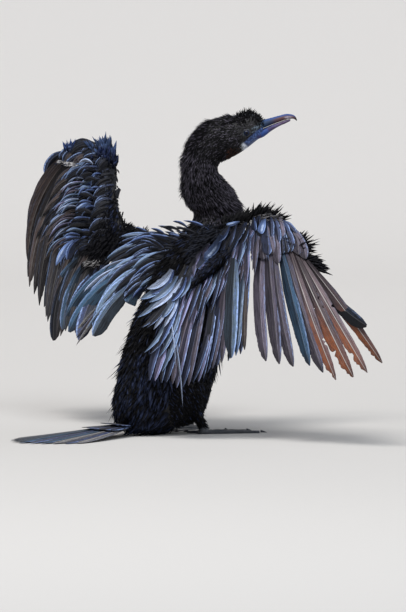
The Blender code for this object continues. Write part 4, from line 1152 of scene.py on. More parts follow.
def lie_of_coat():
    """Places along the middle of each part with the way that its feathers lie: place, lie, part."""
    places, lies, parts = [], [], []

    def run(points, part):
        points = np.array(points)
        places.append((points[:-1] + points[1:]) / 2)
        lies.append(unit(np.diff(points, axis=0)))
        parts.append(np.full(len(points) - 1, part))

    def trunk(start, end, count):
        return [spline(TRUNK, t)[:3] for t in np.linspace(start, end, count)]

    head = [spline(HEAD, t) for t in np.linspace(1, 0, 16)]
    run([head_point(station[0], 0, station[1]) for station in head] + trunk(0.99, 0.94, 3), HEAD_COAT)
    run(trunk(0.96, 0.62, 24), NECK_COAT)
    run(trunk(0.63, 0, 40) + [np.array([-66.0, 0, -6])], BODY_COAT)
    for side in (1, -1):
        hock, ankle = shank_of(side)
        run([mix(hock, ankle, t) for t in np.linspace(-0.1, 1, 6)], LEG_COAT)
    return np.concatenate(places), np.concatenate(lies), np.concatenate(parts)


def wing_lies():
    """The same for the flesh of the wings, where feathers lie from the front edge to the rear one."""
    places, lies, ups, parts = [], [], [], []
    for wing in (RIGHT, LEFT):
        for kind, part in (("plume", PLUME_COAT), ("secondary", SECONDARY_COAT), ("primary", PRIMARY_COAT)):
            for t in np.linspace(0, 1, 9):
                rear, ahead, up, _ = chord_at(wing, kind, t)
                root, run = bone_at(wing, kind, t)
                trail = unit(row_tip(wing, kind, t) - root)
                for share in (0.1, 0.3, 0.5, 0.7, 0.9):
                    places.append(mix(rear, ahead, share))
                    lies.append(unit(unit(rear - ahead) + trail * 0.8))
                    ups.append(up)
                    parts.append(part)
    return np.array(places), np.array(lies), np.array(ups), np.array(parts)


def nearest(points, places, block=4000):
    """The index of the place nearest to each point, found a block of points at a time."""
    return np.concatenate([
        ((points[start:start + block, None] - places[None]) ** 2).sum(2).argmin(1)
        for start in range(0, len(points), block)
    ])


def sites(skin, chance):
    """Seeded places all over the skin: point, normal, lie and part of each, in millimetres."""
    mesh = skin.data
    mesh.calc_loop_triangles()
    points = points_of(skin)
    corners = np.empty(len(mesh.loop_triangles) * 3, int)
    mesh.loop_triangles.foreach_get("vertices", corners)
    a, b, c = (points[corners.reshape(-1, 3)[:, k]] for k in range(3))
    cross = np.cross(b - a, c - a)
    area = np.linalg.norm(cross, axis=1) / 2
    middle = (a + b + c) / 3
    normal = unit(cross)

    body_places, body_lies, body_parts = lie_of_coat()
    wing_places, wing_ways, wing_ups, wing_parts = wing_lies()
    near_body, near_wing = nearest(middle, body_places), nearest(middle, wing_places)
    body_far = np.linalg.norm(middle - body_places[near_body], axis=1)
    wing_far = np.linalg.norm(middle - wing_places[near_wing], axis=1)
    reach = BODY_REACH[body_parts[near_body]]
    on_wing = wing_far < (body_far - reach * 0.72)
    on_wing &= body_far > reach * 0.9
    part = np.where(on_wing, wing_parts[near_wing], body_parts[near_body])
    lie = np.where(on_wing[:, None], wing_ways[near_wing], body_lies[near_body])
    upper = np.where(on_wing, np.sum(wing_ups[near_wing] * normal, axis=1), 0.0)

    wanted = COAT[part, 3] * area
    number = np.floor(wanted + chance.random(len(wanted))).astype(int)
    pick = np.repeat(np.arange(len(middle)), number)
    u, v = chance.random(len(pick)), chance.random(len(pick))
    flip = u + v > 1
    u[flip], v[flip] = 1 - u[flip], 1 - v[flip]
    spot = a[pick] + (b - a)[pick] * u[:, None] + (c - a)[pick] * v[:, None]
    return spot, normal[pick], lie[pick], part[pick], upper[pick]


def tuft_shape(rings):
    """A slim closed spike one long, from a cone cut into rings."""
    bm = bmesh.new()
    bmesh.ops.create_cone(bm, cap_ends=True, segments=3, radius1=0.5, radius2=0.0, depth=1.0)
    bmesh.ops.remove_doubles(bm, verts=bm.verts[:], dist=1e-4)
    bmesh.ops.rotate(bm, matrix=Matrix.Rotation(math.radians(90), 3, "Y"), verts=bm.verts[:])
    for place in rings:
        geometry = bm.verts[:] + bm.edges[:] + bm.faces[:]
        bmesh.ops.bisect_plane(bm, geom=geometry, plane_co=(place - 0.5, 0, 0), plane_no=(1, 0, 0))
    bmesh.ops.triangulate(bm, faces=bm.faces[:])
    bmesh.ops.recalc_face_normals(bm, faces=bm.faces[:])
    bm.verts.index_update()
    points = np.array([(v.co.x + 0.5, v.co.y, v.co.z) for v in bm.verts])
    left = np.maximum(1 - points[:, 0], 1e-6)
    outline = table(((0, 0.7), (0.35, 1.0), (0.7, 0.62), (1, 0)), points[:, 0])
    points[:, 1] *= outline / left
    points[:, 2] *= outline / left
    points[points[:, 0] > 0.999, 1:] = 0
    faces = np.array([[v.index for v in face.verts] for face in bm.faces])
    bm.free()
    return points, faces


def make_tufts(name, material, shape, spot, normal, lie, length, width, lift, curl, tone, patch):
    """Bends a spike on to every place and joins them into one piece."""
    points, faces = shape
    lie = unit(lie - normal * np.sum(lie * normal, axis=1)[:, None])
    side = np.cross(lie, normal)
    x, y, z = points.T
    along = x[None] * length[:, None]
    climb = np.sin(lift)[:, None] * along - curl[:, None] * length[:, None] * x[None] ** 2 - 0.5
    wide = y[None] * width[:, None]
    high = climb + z[None] * width[:, None] * 0.45
    placed = spot[:, None] + lie[:, None] * along[..., None] + side[:, None] * wide[..., None]
    placed = placed + normal[:, None] * high[..., None]
    placed[..., 2] = np.maximum(placed[..., 2], FLOOR_GAP)
    count, size = len(spot), len(points)
    loops = (faces[None] + (np.arange(count) * size)[:, None, None]).reshape(-1)
    vane = np.broadcast_to(np.stack([y + 0.5, x], 1)[None], (count, size, 2)).reshape(-1, 2)
    cell = (patch[:, None] + (vane.reshape(count, size, 2) - 0.5) * 0.003).reshape(-1, 2)
    tones = np.repeat(tone, size, axis=0)
    return mesh_object(
        name, (placed.reshape(-1, 3) + PLACE) * MM, loops, np.full(len(loops) // 3, 3), vane, cell, tones,
        np.zeros_like(tones), material,
    )


def straying(colour, chance, low, high, count):
    """The colour at a brightness of its own for each of count feathers."""
    return np.array([colour]) * chance.uniform(low, high, (count, 1))


def unwrap(spot):
    """A place for each root on an unwrap of the skin: round each part and along it."""
    body_places, body_lies, _ = lie_of_coat()
    wing_places, wing_ways, _, _ = wing_lies()
    places = np.concatenate([body_places, wing_places])
    lies = np.concatenate([body_lies, wing_ways])
    near = nearest(spot, places)
    offset = spot - places[near]
    side = unit(np.cross(lies[near], [0.3, 0.1, 0.95]))
    front = np.cross(side, lies[near])
    angle = np.arctan2(np.sum(offset * side, axis=1), np.sum(offset * front, axis=1)) / (2 * math.pi) + 0.5
    along = (near + 0.5 + np.clip(np.sum(offset * lies[near], axis=1) / 20, -0.5, 0.5)) / len(places)
    return np.stack([angle, along], 1) * 0.98 + 0.01


def head_frame(spot):
    """Reach, side and height of points in the head's own plane."""
    turn = math.radians(HEAD_TURN)
    return (
        spot[:, 0] * math.cos(turn) - spot[:, 1] * math.sin(turn),
        spot[:, 0] * math.sin(turn) + spot[:, 1] * math.cos(turn), spot[:, 2],
    )


# Where the crown bristles, above which height the nape is ruffled and below which the breast is, and where
# and how often the body has broad feathers and shaggy ones.
BRISTLE_REACH = 35
NAPE_RUFF, BREAST_RUFF = 220, 214
BROAD_BELOW, BROAD_SHARE, SHAG_SHARE = 80, 0.3, 0.06
# The warm throat: reach and height from and to.
THROAT_REACH, THROAT_HEIGHT = (26, 38), (246, 262)


def coat_shapes(settings, chance, spot, normal, part):
    """Length, width, lift and curl of each small feather, and which ones are the broad ones low down."""
    count = len(spot)
    length = COAT[part, 0] * chance.uniform(0.75, 1.3, count) * settings.length
    width = COAT[part, 1] * chance.uniform(0.8, 1.2, count)
    lift = np.radians(COAT[part, 2] * chance.uniform(0.6, 1.5, count))
    curl = chance.uniform(0.02, 0.14, count)
    reach, _, _ = head_frame(spot)

    height = spot[:, 2]
    crown = (part == HEAD_COAT) & (normal @ head_point(0, 0, 1) > 0.55)
    bristle = crown * np.clip(1.5 - np.abs(reach - BRISTLE_REACH) / 9, 0, 1.0)
    length *= 1 + bristle * 0.6
    lift *= 1 + bristle * 0.6
    ruff = (part <= NECK_COAT) & (normal @ head_point(-1, 0, 0) > 0.35) & (height > NAPE_RUFF)
    ruff |= (part == NECK_COAT) & (normal @ head_point(1, 0, 0) > 0.1) & (height < BREAST_RUFF)
    broad = (part == BODY_COAT) & (height < BROAD_BELOW) & (chance.random(count) < BROAD_SHARE)
    shag = (part == BODY_COAT) & (chance.random(count) < SHAG_SHARE)
    for chosen, longer, wider, higher in (
        (ruff, 1.6, 1.0, 1.5), (broad, 1.2, 2.3, 0.7),
        (shag, chance.uniform(1.2, 1.55, shag.sum()), 1.0, 1.4),
    ):
        length[chosen] *= longer
        width[chosen] *= wider
        lift[chosen] *= higher
    curl[shag] = 0.0
    face = (part == HEAD_COAT) * np.clip((reach - 26) / 22, 0, 1)
    length *= 1 - 0.45 * face
    width *= 1 - 0.25 * face
    return length, width, lift, curl, broad


def coat_tones(settings, chance, spot, normal, part, upper, chin, broad):
    """The colour of each small feather: near black, flecked or glossy, with a pale chin and warm throat."""
    count = len(spot)
    reach, _, height = head_frame(spot)
    tone = straying(settings.plumage, chance, 0.3, 1.3, count)
    pale = chance.random(count)
    flecked = pale > np.where(part == HEAD_COAT, 0.78, np.where(part == NECK_COAT, 0.46, 0.90))
    dull_fleck_and_painted_shade, glossy = np.array([settings.fleck]), np.array([settings.gloss]) * 1.15
    tint = np.where((part <= NECK_COAT)[:, None], dull_fleck_and_painted_shade, glossy)
    blue = broad | ((part >= PLUME_COAT) & (upper > 0.1) & (pale < 0.4))
    throat = (part <= NECK_COAT) & (reach < THROAT_REACH[1]) & (reach > THROAT_REACH[0])
    throat &= (height < THROAT_HEIGHT[1]) & (height > THROAT_HEIGHT[0])
    throat &= (normal[:, 2] < 0.1) & (pale > 0.5)
    tone = np.where(flecked[:, None], tint * chance.uniform(0.5, 1.7, (count, 1)), tone)
    for chosen, colour, low, high in (
        (blue, settings.gloss, 0.3, 1.2), (chin > 0.5, CHIN_WHITE, 0.6, 1.1),
        (throat, THROAT_BROWN, 0.5, 1.2),
    ):
        tone = np.where(chosen[:, None], straying(colour, chance, low, high, count), tone)
    return tone


CHIN_WHITE = (0.6, 0.61, 0.64)
THROAT_BROWN = (0.09, 0.035, 0.022)
# How far the small feathers stray from their lie, and the height above which the shanks carry them.
LIE_STRAY = 0.16
SHANK_BARE = 8
# Coat pieces: name, parts and where their feathers bend.
COAT_PIECES = (
    ("head", (HEAD_COAT,), (0.45,)), ("neck", (NECK_COAT,), (0.45,)),
    ("body", (BODY_COAT, LEG_COAT), (0.3, 0.65)),
    ("wing", (PLUME_COAT, SECONDARY_COAT, PRIMARY_COAT), (0.3, 0.65)),
)


def make_coat(settings, skin):
    """The small feathers of head, neck, body, legs and the wings' flesh, in joined pieces."""
    chance = np.random.default_rng(SEED)
    spot, normal, lie, part, upper = sites(skin, chance)
    lores, base, chin = face_masks(spot)
    keep = (np.maximum(lores, base) < 0.5) | (part != HEAD_COAT)
    keep &= ~((part == LEG_COAT) & (spot[:, 2] < SHANK_BARE))
    spot, normal, lie, part, upper, chin = (values[keep] for values in (spot, normal, lie, part, upper, chin))
    length, width, lift, curl, broad = coat_shapes(settings, chance, spot, normal, part)
    lie = unit(lie + chance.normal(0, LIE_STRAY, (len(spot), 3)))
    tone = coat_tones(settings, chance, spot, normal, part, upper, chin, broad)
    patch = unwrap(spot)
    material = finish_of("coat", coat_finish)
    for label, parts, rings in COAT_PIECES:
        chosen = np.flatnonzero(np.isin(part, parts))
        shape = tuft_shape(rings)
        pieces = math.ceil(len(chosen) * len(shape[1]) / settings.most_in_piece)
        for k, block in enumerate(np.array_split(chosen, pieces)):
            looks = (values[block] for values in (spot, normal, lie, length, width, lift, curl, tone, patch))
            settle(make_tufts(f"coat_{label}_{k + 1}", material, shape, *looks), "plumage")


def make_flight(settings):
    """The large feathers and coverts of both wings, the shoulders and the upper back."""
    for name, wing, outer, seed in (("right", RIGHT, (1.0, 0.2), 1), ("left", LEFT, (-1.0, 0.3), 2)):
        made = lay_rows("flight_feathers_" + name, ROWS[name], sheet_of(wing), outer, settings, seed)
        settle(made, "flight_feathers", "forearm_" + name, "hand_" + name)
    plumes = lay_rows("scapulars_left", ROWS["middle"], sheet_of(LEFT), (-0.6, 1.0), settings, 3)
    settle(plumes, "flight_feathers", "upper_arm_left")
    mantle = lay_rows("scapulars_right", ROWS["mantle"], None, (-0.6, 1.0), settings, 4)
    settle(mantle, "flight_feathers", "upper_arm_right")


def tail_line(side):
    """The surface that one half of the tail lies on, laid back along the floor."""
    root = np.array(TAIL_ROOT, float)

    def line(s, t):
        angle = math.radians(TAIL_SPREAD * s)
        heading = np.array([-math.cos(angle), side * math.sin(angle), 0])
        start = root + np.array([0, side * s * 9, -1])
        length = mix(*TAIL_LENGTHS, max(s, 0) ** 1.4)
        tip = root * [1, 1, 0] + heading * length + [0, 0, 0.9]
        corner = mix(start, tip, 0.55)
        corner[2] = mix(7.0, 3.0, max(s, 0))
        return bent(start, corner, tip, t)

    return line


def near_flesh(roots, flesh, away, slack):
    """Brings roots that float before or behind the flesh to within slack of it, along the camera's view."""
    root_depths, flesh_depths = roots @ away, flesh @ away
    roots_flat, flesh_flat = roots - root_depths[:, None] * away, flesh - flesh_depths[:, None] * away
    moved = []
    for root, place, depth in zip(roots, roots_flat, root_depths):
        far = np.linalg.norm(flesh_flat - place, axis=1)
        close = flesh_depths[far < max(far.min() + 0.5, 4.0)]
        offset = close[np.argmin(np.abs(close - depth))] - depth
        moved.append(root + away * (offset - np.clip(offset, -slack, slack)))
    return np.array(moved)


# How far, in millimetres, the fringes' roots may lie off the flesh.
FRINGE_SLACK = 8.0


def along_line(stations, s):
    """The station s of the way along straight runs between stations."""
    places = np.linspace(0, 1, len(stations))
    return np.array([np.interp(s, places, values) for values in zip(*stations)])


def make_fringes():
    """The ruffled tufts along the wings' front edges, with the pale down under them."""
    flesh = points_of(bpy.data.objects["skin"])[::5]
    right, up, away = look_of(AZIMUTH, ELEVATION)
    for name, wing in (("right", RIGHT), ("left", LEFT)):
        chance = np.random.default_rng(SEED + 30 + len(name))
        sheet = sheet_of(wing)
        roots, ways, widths, tones = [], [], [], []
        for count, line, pointing, width, colour, spread in FRINGES[name]:
            for _ in range(count):
                s = chance.random()
                start = along_line(line, s) + chance.normal(0, 1, 3) * [spread, spread, 1.5]
                way = along_line(pointing, s)
                way = (way + chance.normal(0, 0.22, 2) * np.linalg.norm(way)) * chance.uniform(0.45, 1.15)
                depth = chance.normal(0, 0.3) * np.linalg.norm(way)
                roots.append(over(sheet, start))
                ways.append(right * way[0] * PIXEL - up * way[1] * PIXEL + away * depth)
                widths.append(width * chance.uniform(0.7, 1.3))
                tones.append(np.array(colour) * chance.uniform(0.5, 1.5))
        roots = near_flesh(np.array(roots), flesh, away, FRINGE_SLACK)
        ups = np.broadcast_to(-away, roots.shape)
        tips = roots + np.array(ways)
        settle(make_spikes("fringe_" + name, roots, tips, ups, np.array(widths), np.array(tones)), "plumage")


def make_tail(settings):
    """Twelve tail feathers with their coverts."""
    chance = np.random.default_rng(SEED + 5)
    piece = Gathered("tail_feathers")
    long, short = Template(48, TAIL_COLUMNS), Template(18, TAIL_COLUMNS)
    paints = ("steel", "slate", "steel", "pale", "slate", "pale")
    rows = ((len(paints), 1.0, 0.0, 12.5, long), (5, 0.36, 2.6, 10, short), (4, 0.2, 4.4, 9, short))
    total, index = 2 * sum(row[0] for row in rows), 0
    for side in (1, -1):
        line = tail_line(side)
        outwards = np.array([0, side, 0.0])
        for count, share, lift, width, shape in rows:
            for k in range(count):
                paint = paints[k] if shape is long else ("slate", "dusk", "dark")[chance.integers(3)]
                tone, marks = (np.array(value, float) for value in PAINTS[paint])
                centre = line((k + 0.5) / count, CENTRE_STEPS * share)
                centre = centre + np.array([0, 0, lift]) * CENTRE_STEPS[:, None]
                feather(
                    piece, shape, centre, np.array([0, 0, 1.0]), outwards, chance, width * settings.width,
                    FLIGHT, tone, marks + [0, 0, 0.1], (index, total), rag=0.35, tilt=-0.1,
                )
                index += 1
    for points in piece.points:
        points[:, 2] = np.maximum(points[:, 2], FLOOR_GAP)
    settle(piece.make(finish_of("vanes", vane_finish)), "flight_feathers", "tail")


def make_spikes(name, roots, tips, ups, widths, tones):
    """Standing pointed feathers, such as the crest and the fringes, as one piece."""
    lie = unit(tips - roots)
    length = np.linalg.norm(tips - roots, axis=1)
    normal = unit(ups - lie * np.sum(ups * lie, axis=1)[:, None])
    flat = np.zeros(len(roots))
    looks = (roots, normal, lie, length, widths, flat, flat, tones, unwrap(roots))
    return make_tufts(name, finish_of("coat", coat_finish), tuft_shape((0.3, 0.65)), *looks)


# The crest, from nape to forehead: how far it reaches, how deep it roots, and its lengths along that way.
CREST_REACH = (34, 58)
CREST_DEPTH = 1.8
CREST_LENGTHS = ((0, 1.6), (0.3, 4.6), (0.48, 5.0), (0.7, 3.2), (1, 1.6))


def make_crest(settings):
    """The ruffled plumes that stand on the forehead."""
    chance = np.random.default_rng(SEED + 7)
    roots, tips, ups = [], [], []
    reaches = [station[0] for station in HEAD]
    shares = np.linspace(0, 1, len(HEAD))
    for _ in range(settings.crest_count):
        t = chance.random()
        reach = mix(*CREST_REACH, t)
        _, height, head_lean, wide, deep = spline(HEAD, np.interp(reach, reaches, shares))
        side = chance.uniform(-1, 1) * wide * 0.93
        top = height + deep * math.sqrt(1 - (side / wide) ** 2) / math.sin(math.radians(head_lean))
        root = head_point(reach, side, top - CREST_DEPTH)
        forward = mix(-0.5, 0.9, t) + chance.normal(0, 0.22)
        lean = head_point(forward, side * 0.07 + chance.normal(0, 0.1), 1)
        length = table(CREST_LENGTHS, t) * chance.uniform(0.3, 1.25)
        roots.append(root)
        tips.append(root + unit(lean) * (length + CREST_DEPTH))
        ups.append(head_point(0.3, 1, 0))
    tones = straying(settings.plumage, chance, 0.3, 1.6, len(roots))
    widths = chance.uniform(0.6, 1.3, len(roots))
    settle(make_spikes("crest", np.array(roots), np.array(tips), np.array(ups), widths, tones), "plumage")


def make_bill(name, stations, upper):
    """One half of the bill, lofted finely along its stations."""
    bm = bmesh.new()
    rows, count = 40, 28
    angle = np.linspace(0, 2 * math.pi, count, endpoint=False)
    c, s = np.cos(angle), np.sin(angle)
    squash, rise = np.abs(c) ** 0.8 * np.sign(c), np.abs(s) ** 0.9 * np.sign(s)
    rings = []
    for k in range(rows + 1):
        reach, top, bottom, wide = spline(stations, k / rows)
        groove = 1 - 0.1 * np.exp(-((s - 0.45) / 0.2) ** 2) * (0.1 < k / rows < 0.86) * upper
        across = (squash * wide * groove)[:, None] * head_point(0, 1, 0)
        climb = (rise * (top - bottom) / 2)[:, None] * np.array([0, 0, 1])
        rings.append(head_point(reach, 0, (top + bottom) / 2) + across + climb)
    loft(bm, rings)
    made = object_of(bm, name, bill_finish(name, upper))
    reach, side, height = head_frame(points_of(made))
    low, high = stations[0][0], stations[-1][0]
    along = np.clip((reach - low) / (high - low), 0, 1)
    middle = np.interp(reach, [s[0] for s in stations], [(s[1] + s[2]) / 2 for s in stations])
    around = np.arctan2(height - middle, np.abs(side)) / (2 * math.pi)
    layer = made.data.uv_layers.new(name="Vane")
    loops = np.empty(len(made.data.loops), int)
    made.data.loops.foreach_get("vertex_index", loops)
    layer.data.foreach_set("uv", np.stack([around, along], 1)[loops].ravel())
    settle(made, "bill", name)


def eye_finish(name, front):
    """A dark eye: pupil, deep blue iris and a black rim, by distance from the front of the ball."""
    f = Finish(name, Roughness=0.08, Specular_IOR_Level=0.12, Coat_Weight=0.12, Coat_Roughness=0.02)
    offset = f.node("ShaderNodeVectorMath", {"operation": "SUBTRACT"})
    f.feed(offset.inputs[0], f.place())
    f.feed(offset.inputs[1], tuple(front * MM))
    length = f.node("ShaderNodeVectorMath", {"operation": "LENGTH"})
    f.feed(length.inputs[0], offset.outputs[0])
    away = f.wire(length.outputs["Value"])
    colour = f.blend((0.001, 0.001, 0.002), (0.004, 0.009, 0.028), away.between(0.0012, 0.0015))
    colour = f.blend(colour, (0.002, 0.002, 0.003), away.between(0.0024, 0.0029))
    return f.finish(colour, 0.05)


def make_eye(name, side):
    """The eye with its ring of bare lids."""
    wide = spline(HEAD, EYE_STATION)[3]
    centre = head_point(EYE_REACH, side * (wide - EYE_INSET), EYE_HEIGHT)
    bm = bmesh.new()
    bmesh.ops.create_uvsphere(bm, u_segments=40, v_segments=24, radius=EYE_RADIUS)
    bmesh.ops.translate(bm, vec=vector(centre), verts=bm.verts[:])
    front = centre + head_point(0, side * EYE_RADIUS, 0) + PLACE
    settle(object_of(bm, name, eye_finish(name, front)), "eye", name)

    bm = bmesh.new()
    outwards, along = head_point(0, side, 0), head_point(1, 0, 0)
    up = np.array([0, 0, 1.0])
    steps, count = 36, 10
    rings = []
    for k in range(steps):
        angle = 2 * math.pi * k / steps
        radial = along * math.cos(angle) + up * math.sin(angle)
        spot = centre + outwards * LID_FORWARD + radial * (EYE_RADIUS - 0.25 - 0.3 * abs(math.sin(angle)))
        made = bmesh.ops.create_circle(bm, segments=count, radius=1)["verts"]
        for j, vert in enumerate(made):
            turn = 2 * math.pi * j / count
            vert.co = vector(spot + (radial * math.cos(turn) * 0.7 + outwards * math.sin(turn) * 0.5))
        rings.append(list({edge for vert in made for edge in vert.link_edges}))
    for near, far in zip(rings, rings[1:] + rings[:1]):
        bmesh.ops.bridge_loops(bm, edges=near + far)
    settle(object_of(bm, name + "_lids", lid_finish(name + "_lids")), "eye")


def toe_line(side, toe):
    length, heading, _ = toe
    angle = math.radians(heading)
    forward = np.array([math.cos(angle), side * math.sin(angle), 0])
    start = np.array([ANKLE[0], side * ANKLE[1], 0.0])
    return start, start + forward * length, forward


def arch(centre, across, radius, height, count=16):
    """A ring with a flat sole and a round back."""
    angle = np.linspace(0, 2 * math.pi, count, endpoint=False)
    rise = np.clip(np.sin(angle), 0, None) ** 0.85 * height
    return centre + (np.cos(angle) * radius)[:, None] * across + rise[:, None] * np.array([0, 0, 1])


# Height and radius of the ankle's rings, and the height of the outer toe at its root.
ANKLE_RINGS = ((0.02, 5.4), (1.2, 5.8), (2.6, 5.7), (4.8, 4.7), (6.5, 4.1), (9.5, 3.6))
TOE_HEIGHT = 4.4
# Height of the web's upper and lower face, and of the creases across it.
WEB_TOP, WEB_UNDER, CREASE = 1.25, 0.06, 0.18


def web_ring(start, end_a, end_b, t):
    """A flat ring through the web between two toes, t of the way along them."""
    a, b = mix(start, end_a, t), mix(start, end_b, t)
    ring = []
    for u in np.linspace(0, 1, 12):
        point = mix(a, b, u)
        point = mix(point, start, 0.14 * t ** 3 * math.sin(math.pi * u))
        ring.append(point + np.array([0, 0, WEB_TOP + CREASE * math.sin(u * 22) * t]))
    under = [point * [1, 1, 0] + [0, 0, WEB_UNDER] for point in reversed(ring)]
    return np.array(ring + under)


def make_foot(name, side):
    """Four webbed toes with knuckles, scales and claws."""
    bm = bmesh.new()
    ankle = np.array([ANKLE[0], side * ANKLE[1], 0.0])
    loft(bm, [
        oval(ankle + [0, 0, height], np.array([radius, 0, 0]), np.array([0, radius * 0.85, 0]), 20)
        for height, radius in ANKLE_RINGS
    ])
    for toe in TOES:
        start, end, forward = toe_line(side, toe)
        radius = toe[2]
        across = np.cross([0, 0, 1], forward)
        rings = []
        for t in np.linspace(0, 1, 26):
            knuckle = 1 + 0.16 * math.cos(t * 6 * math.pi) * (1 - t)
            swell = mix(1.0, 0.52, t ** 0.8) * knuckle
            middle = mix(start, end, t * 0.97 - 0.02)
            rings.append(arch(middle, across, radius * swell, TOE_HEIGHT * radius / TOES[0][2] * swell))
        loft(bm, rings)
        claw = []
        for t in np.linspace(0, 1, 10):
            spot = mix(end - forward * 1.5, end + forward * 4.3, t)
            spot = spot + np.array([0, 0, 0.35 + 1.5 * (1 - t) ** 0.7])
            size = mix(1.25, 0.12, t ** 1.3)
            claw.append(oval(spot, across * size * 0.8, np.array([0, 0, size]), 10))
        loft(bm, claw)
    for first, second in zip(TOES, TOES[1:]):
        start, end_a, _ = toe_line(side, first)
        _, end_b, _ = toe_line(side, second)
        loft(bm, [web_ring(start, end_a, end_b, t) for t in np.linspace(0.02, 0.93, 14)])
    settle(object_of(bm, name, foot_finish()), "foot_skin", name)


def look_of(azimuth, elevation):
    """Right, up and the way the camera looks, for a heading in degrees."""
    a, e = math.radians(azimuth), math.radians(elevation)
    right = np.array([math.cos(a), math.sin(a), 0])
    away = np.array([-math.sin(a) * math.cos(e), math.cos(a) * math.cos(e), -math.sin(e)])
    return right, np.cross(right, away), away


# The camera's sensor in millimetres, and how far it sees in metres.
SENSOR = 36.0
FAR_CLIP = 100.0
# The floor and backdrop in metres: near end, start and radius of the bend, top and half the width.
FLOOR_NEAR, FLOOR_FAR, BEND, BACKDROP_TOP, FLOOR_HALF_WIDTH = -9.0, 2.2, 1.6, 9.0, 9.0
BEND_STEPS = 12
SKY_TINT = (0.80, 0.84, 0.92, 1)
# Lamps: heading from the camera's right and height in degrees, share of the key light's power, size in
# metres and tint. They stand LAMP_DISTANCE metres away.
LAMPS = (
    ("key", 120, 55, 1.0, 0.9, (1.0, 0.98, 0.95)), ("fill", -10, 25, 0.28, 2.2, (0.86, 0.92, 1.0)),
    ("rim", 80, 40, 0.5, 1.2, (0.9, 0.95, 1.0)),
)
LAMP_DISTANCE = 2.6


def make_camera(scene, aim, right, up, away):
    turn = Matrix((vector(right), vector(up), vector(-away))).transposed().to_4x4()
    data = bpy.data.cameras.new("camera")
    data.sensor_fit = "HORIZONTAL"
    data.sensor_width = SENSOR
    data.lens = SENSOR * DISTANCE / (PHOTO[0] * PIXEL)
    data.clip_end = FAR_CLIP
    camera = bpy.data.objects.new("camera", data)
    camera.matrix_world = Matrix.Translation(vector((aim - away * DISTANCE) * MM)) @ turn
    scene.collection.objects.link(camera)
    scene.camera = camera


def make_floor(scene, settings):
    """A floor that curves up to a backdrop, turned to face the camera."""
    bm = bmesh.new()
    line = [(FLOOR_NEAR, 0), (FLOOR_FAR, 0)]
    for k in range(1, BEND_STEPS + 1):
        angle = math.pi / 2 * k / BEND_STEPS
        line.append((FLOOR_FAR + BEND * math.sin(angle), BEND - BEND * math.cos(angle)))
    line.append((FLOOR_FAR + BEND, BACKDROP_TOP))
    verts = [bm.verts.new((-FLOOR_HALF_WIDTH, back, height)) for back, height in line]
    edges = [bm.edges.new(pair) for pair in zip(verts, verts[1:])]
    swept = bmesh.ops.extrude_edge_only(bm, edges=edges)["geom"]
    moved = [vert for vert in swept if isinstance(vert, bmesh.types.BMVert)]
    bmesh.ops.translate(bm, vec=(FLOOR_HALF_WIDTH * 2, 0, 0), verts=moved)
    bmesh.ops.rotate(bm, matrix=Matrix.Rotation(math.radians(AZIMUTH), 3, "Z"), verts=bm.verts[:])
    mesh = bpy.data.meshes.new("studio_floor")
    bm.to_mesh(mesh)
    bm.free()
    mesh.shade_smooth()
    mesh.materials.append(studio_finish(tuple(settings.floor_colour), tuple(settings.backdrop_colour)))
    floor = bpy.data.objects.new("studio_floor", mesh)
    scene.collection.objects.link(floor)


def make_lights(scene, settings, aim, right, up, away):
    """Even light from all round, and the lamps."""
    world = bpy.data.worlds.new("studio")
    world.use_nodes = True
    back = world.node_tree.nodes["Background"]
    back.inputs[0].default_value = SKY_TINT
    back.inputs[1].default_value = settings.ambient
    scene.world = world
    target = aim * MM
    for name, heading, height, share, size, tint in LAMPS:
        lamp = bpy.data.lights.new(name, "AREA")
        lamp.energy, lamp.size, lamp.color = settings.key_power * share, size, tint
        a, e = math.radians(heading), math.radians(height)
        spot = right * math.cos(a) * math.cos(e) - away * math.sin(a) * math.cos(e) + up * math.sin(e)
        obj = bpy.data.objects.new(name, lamp)
        obj.location = vector(target + spot * LAMP_DISTANCE)
        obj.rotation_euler = (vector(target) - obj.location).to_track_quat("-Z", "Y").to_euler()
        scene.collection.objects.link(obj)


def make_stage(settings):
    """The camera, the pale floor and backdrop, and soft studio lights."""
    scene = bpy.context.scene
    scene.view_settings.view_transform = "Standard"
    right, up, away = look_of(AZIMUTH, ELEVATION)
    across, down = PHOTO[0] / 2 - ORIGIN_PIXEL[0], ORIGIN_PIXEL[1] - PHOTO[1] / 2
    aim = right * across * PIXEL + up * down * PIXEL + PLACE
    make_camera(scene, aim, right, up, away)
    make_floor(scene, settings)
    make_lights(scene, settings, aim, right, up, away)


class CormorantCoat(bpy.types.PropertyGroup):
    """Sizes and colours of the skin and the small feathers."""

    skin_grain: FloatProperty(
        name="Skin grain", description="Voxel size of the skin", default=0.0013, unit="LENGTH"
    )
    length: FloatProperty(
        name="Feather length", description="Length of the small feathers, as a factor", default=1.0
    )
    most_in_piece: IntProperty(
        name="Most triangles", description="Triangles in one joined piece", default=180000
    )
    crest_count: IntProperty(
        name="Crest plumes", description="Standing plumes on the forehead", default=330
    )
    plumage: FloatVectorProperty(
        name="Plumage", description="Colour of the body feathers", subtype="COLOR",
        default=(0.0045, 0.0042, 0.0056),
    )
    fleck: FloatVectorProperty(
        name="Flecks", description="Colour of the paler feathers", subtype="COLOR",
        default=(0.088, 0.080, 0.104),
    )
    gloss: FloatVectorProperty(
        name="Gloss", description="Colour of glossy wing feathers", subtype="COLOR",
        default=(0.022, 0.03, 0.065),
    )


class CormorantWings(bpy.types.PropertyGroup):
    """Looks of the large feathers."""

    width: FloatProperty(
        name="Feather width", description="Width of large feathers, as a factor", default=1.0
    )
    ruffle: FloatProperty(name="Ruffle", description="How unevenly the large feathers lie", default=1.0)


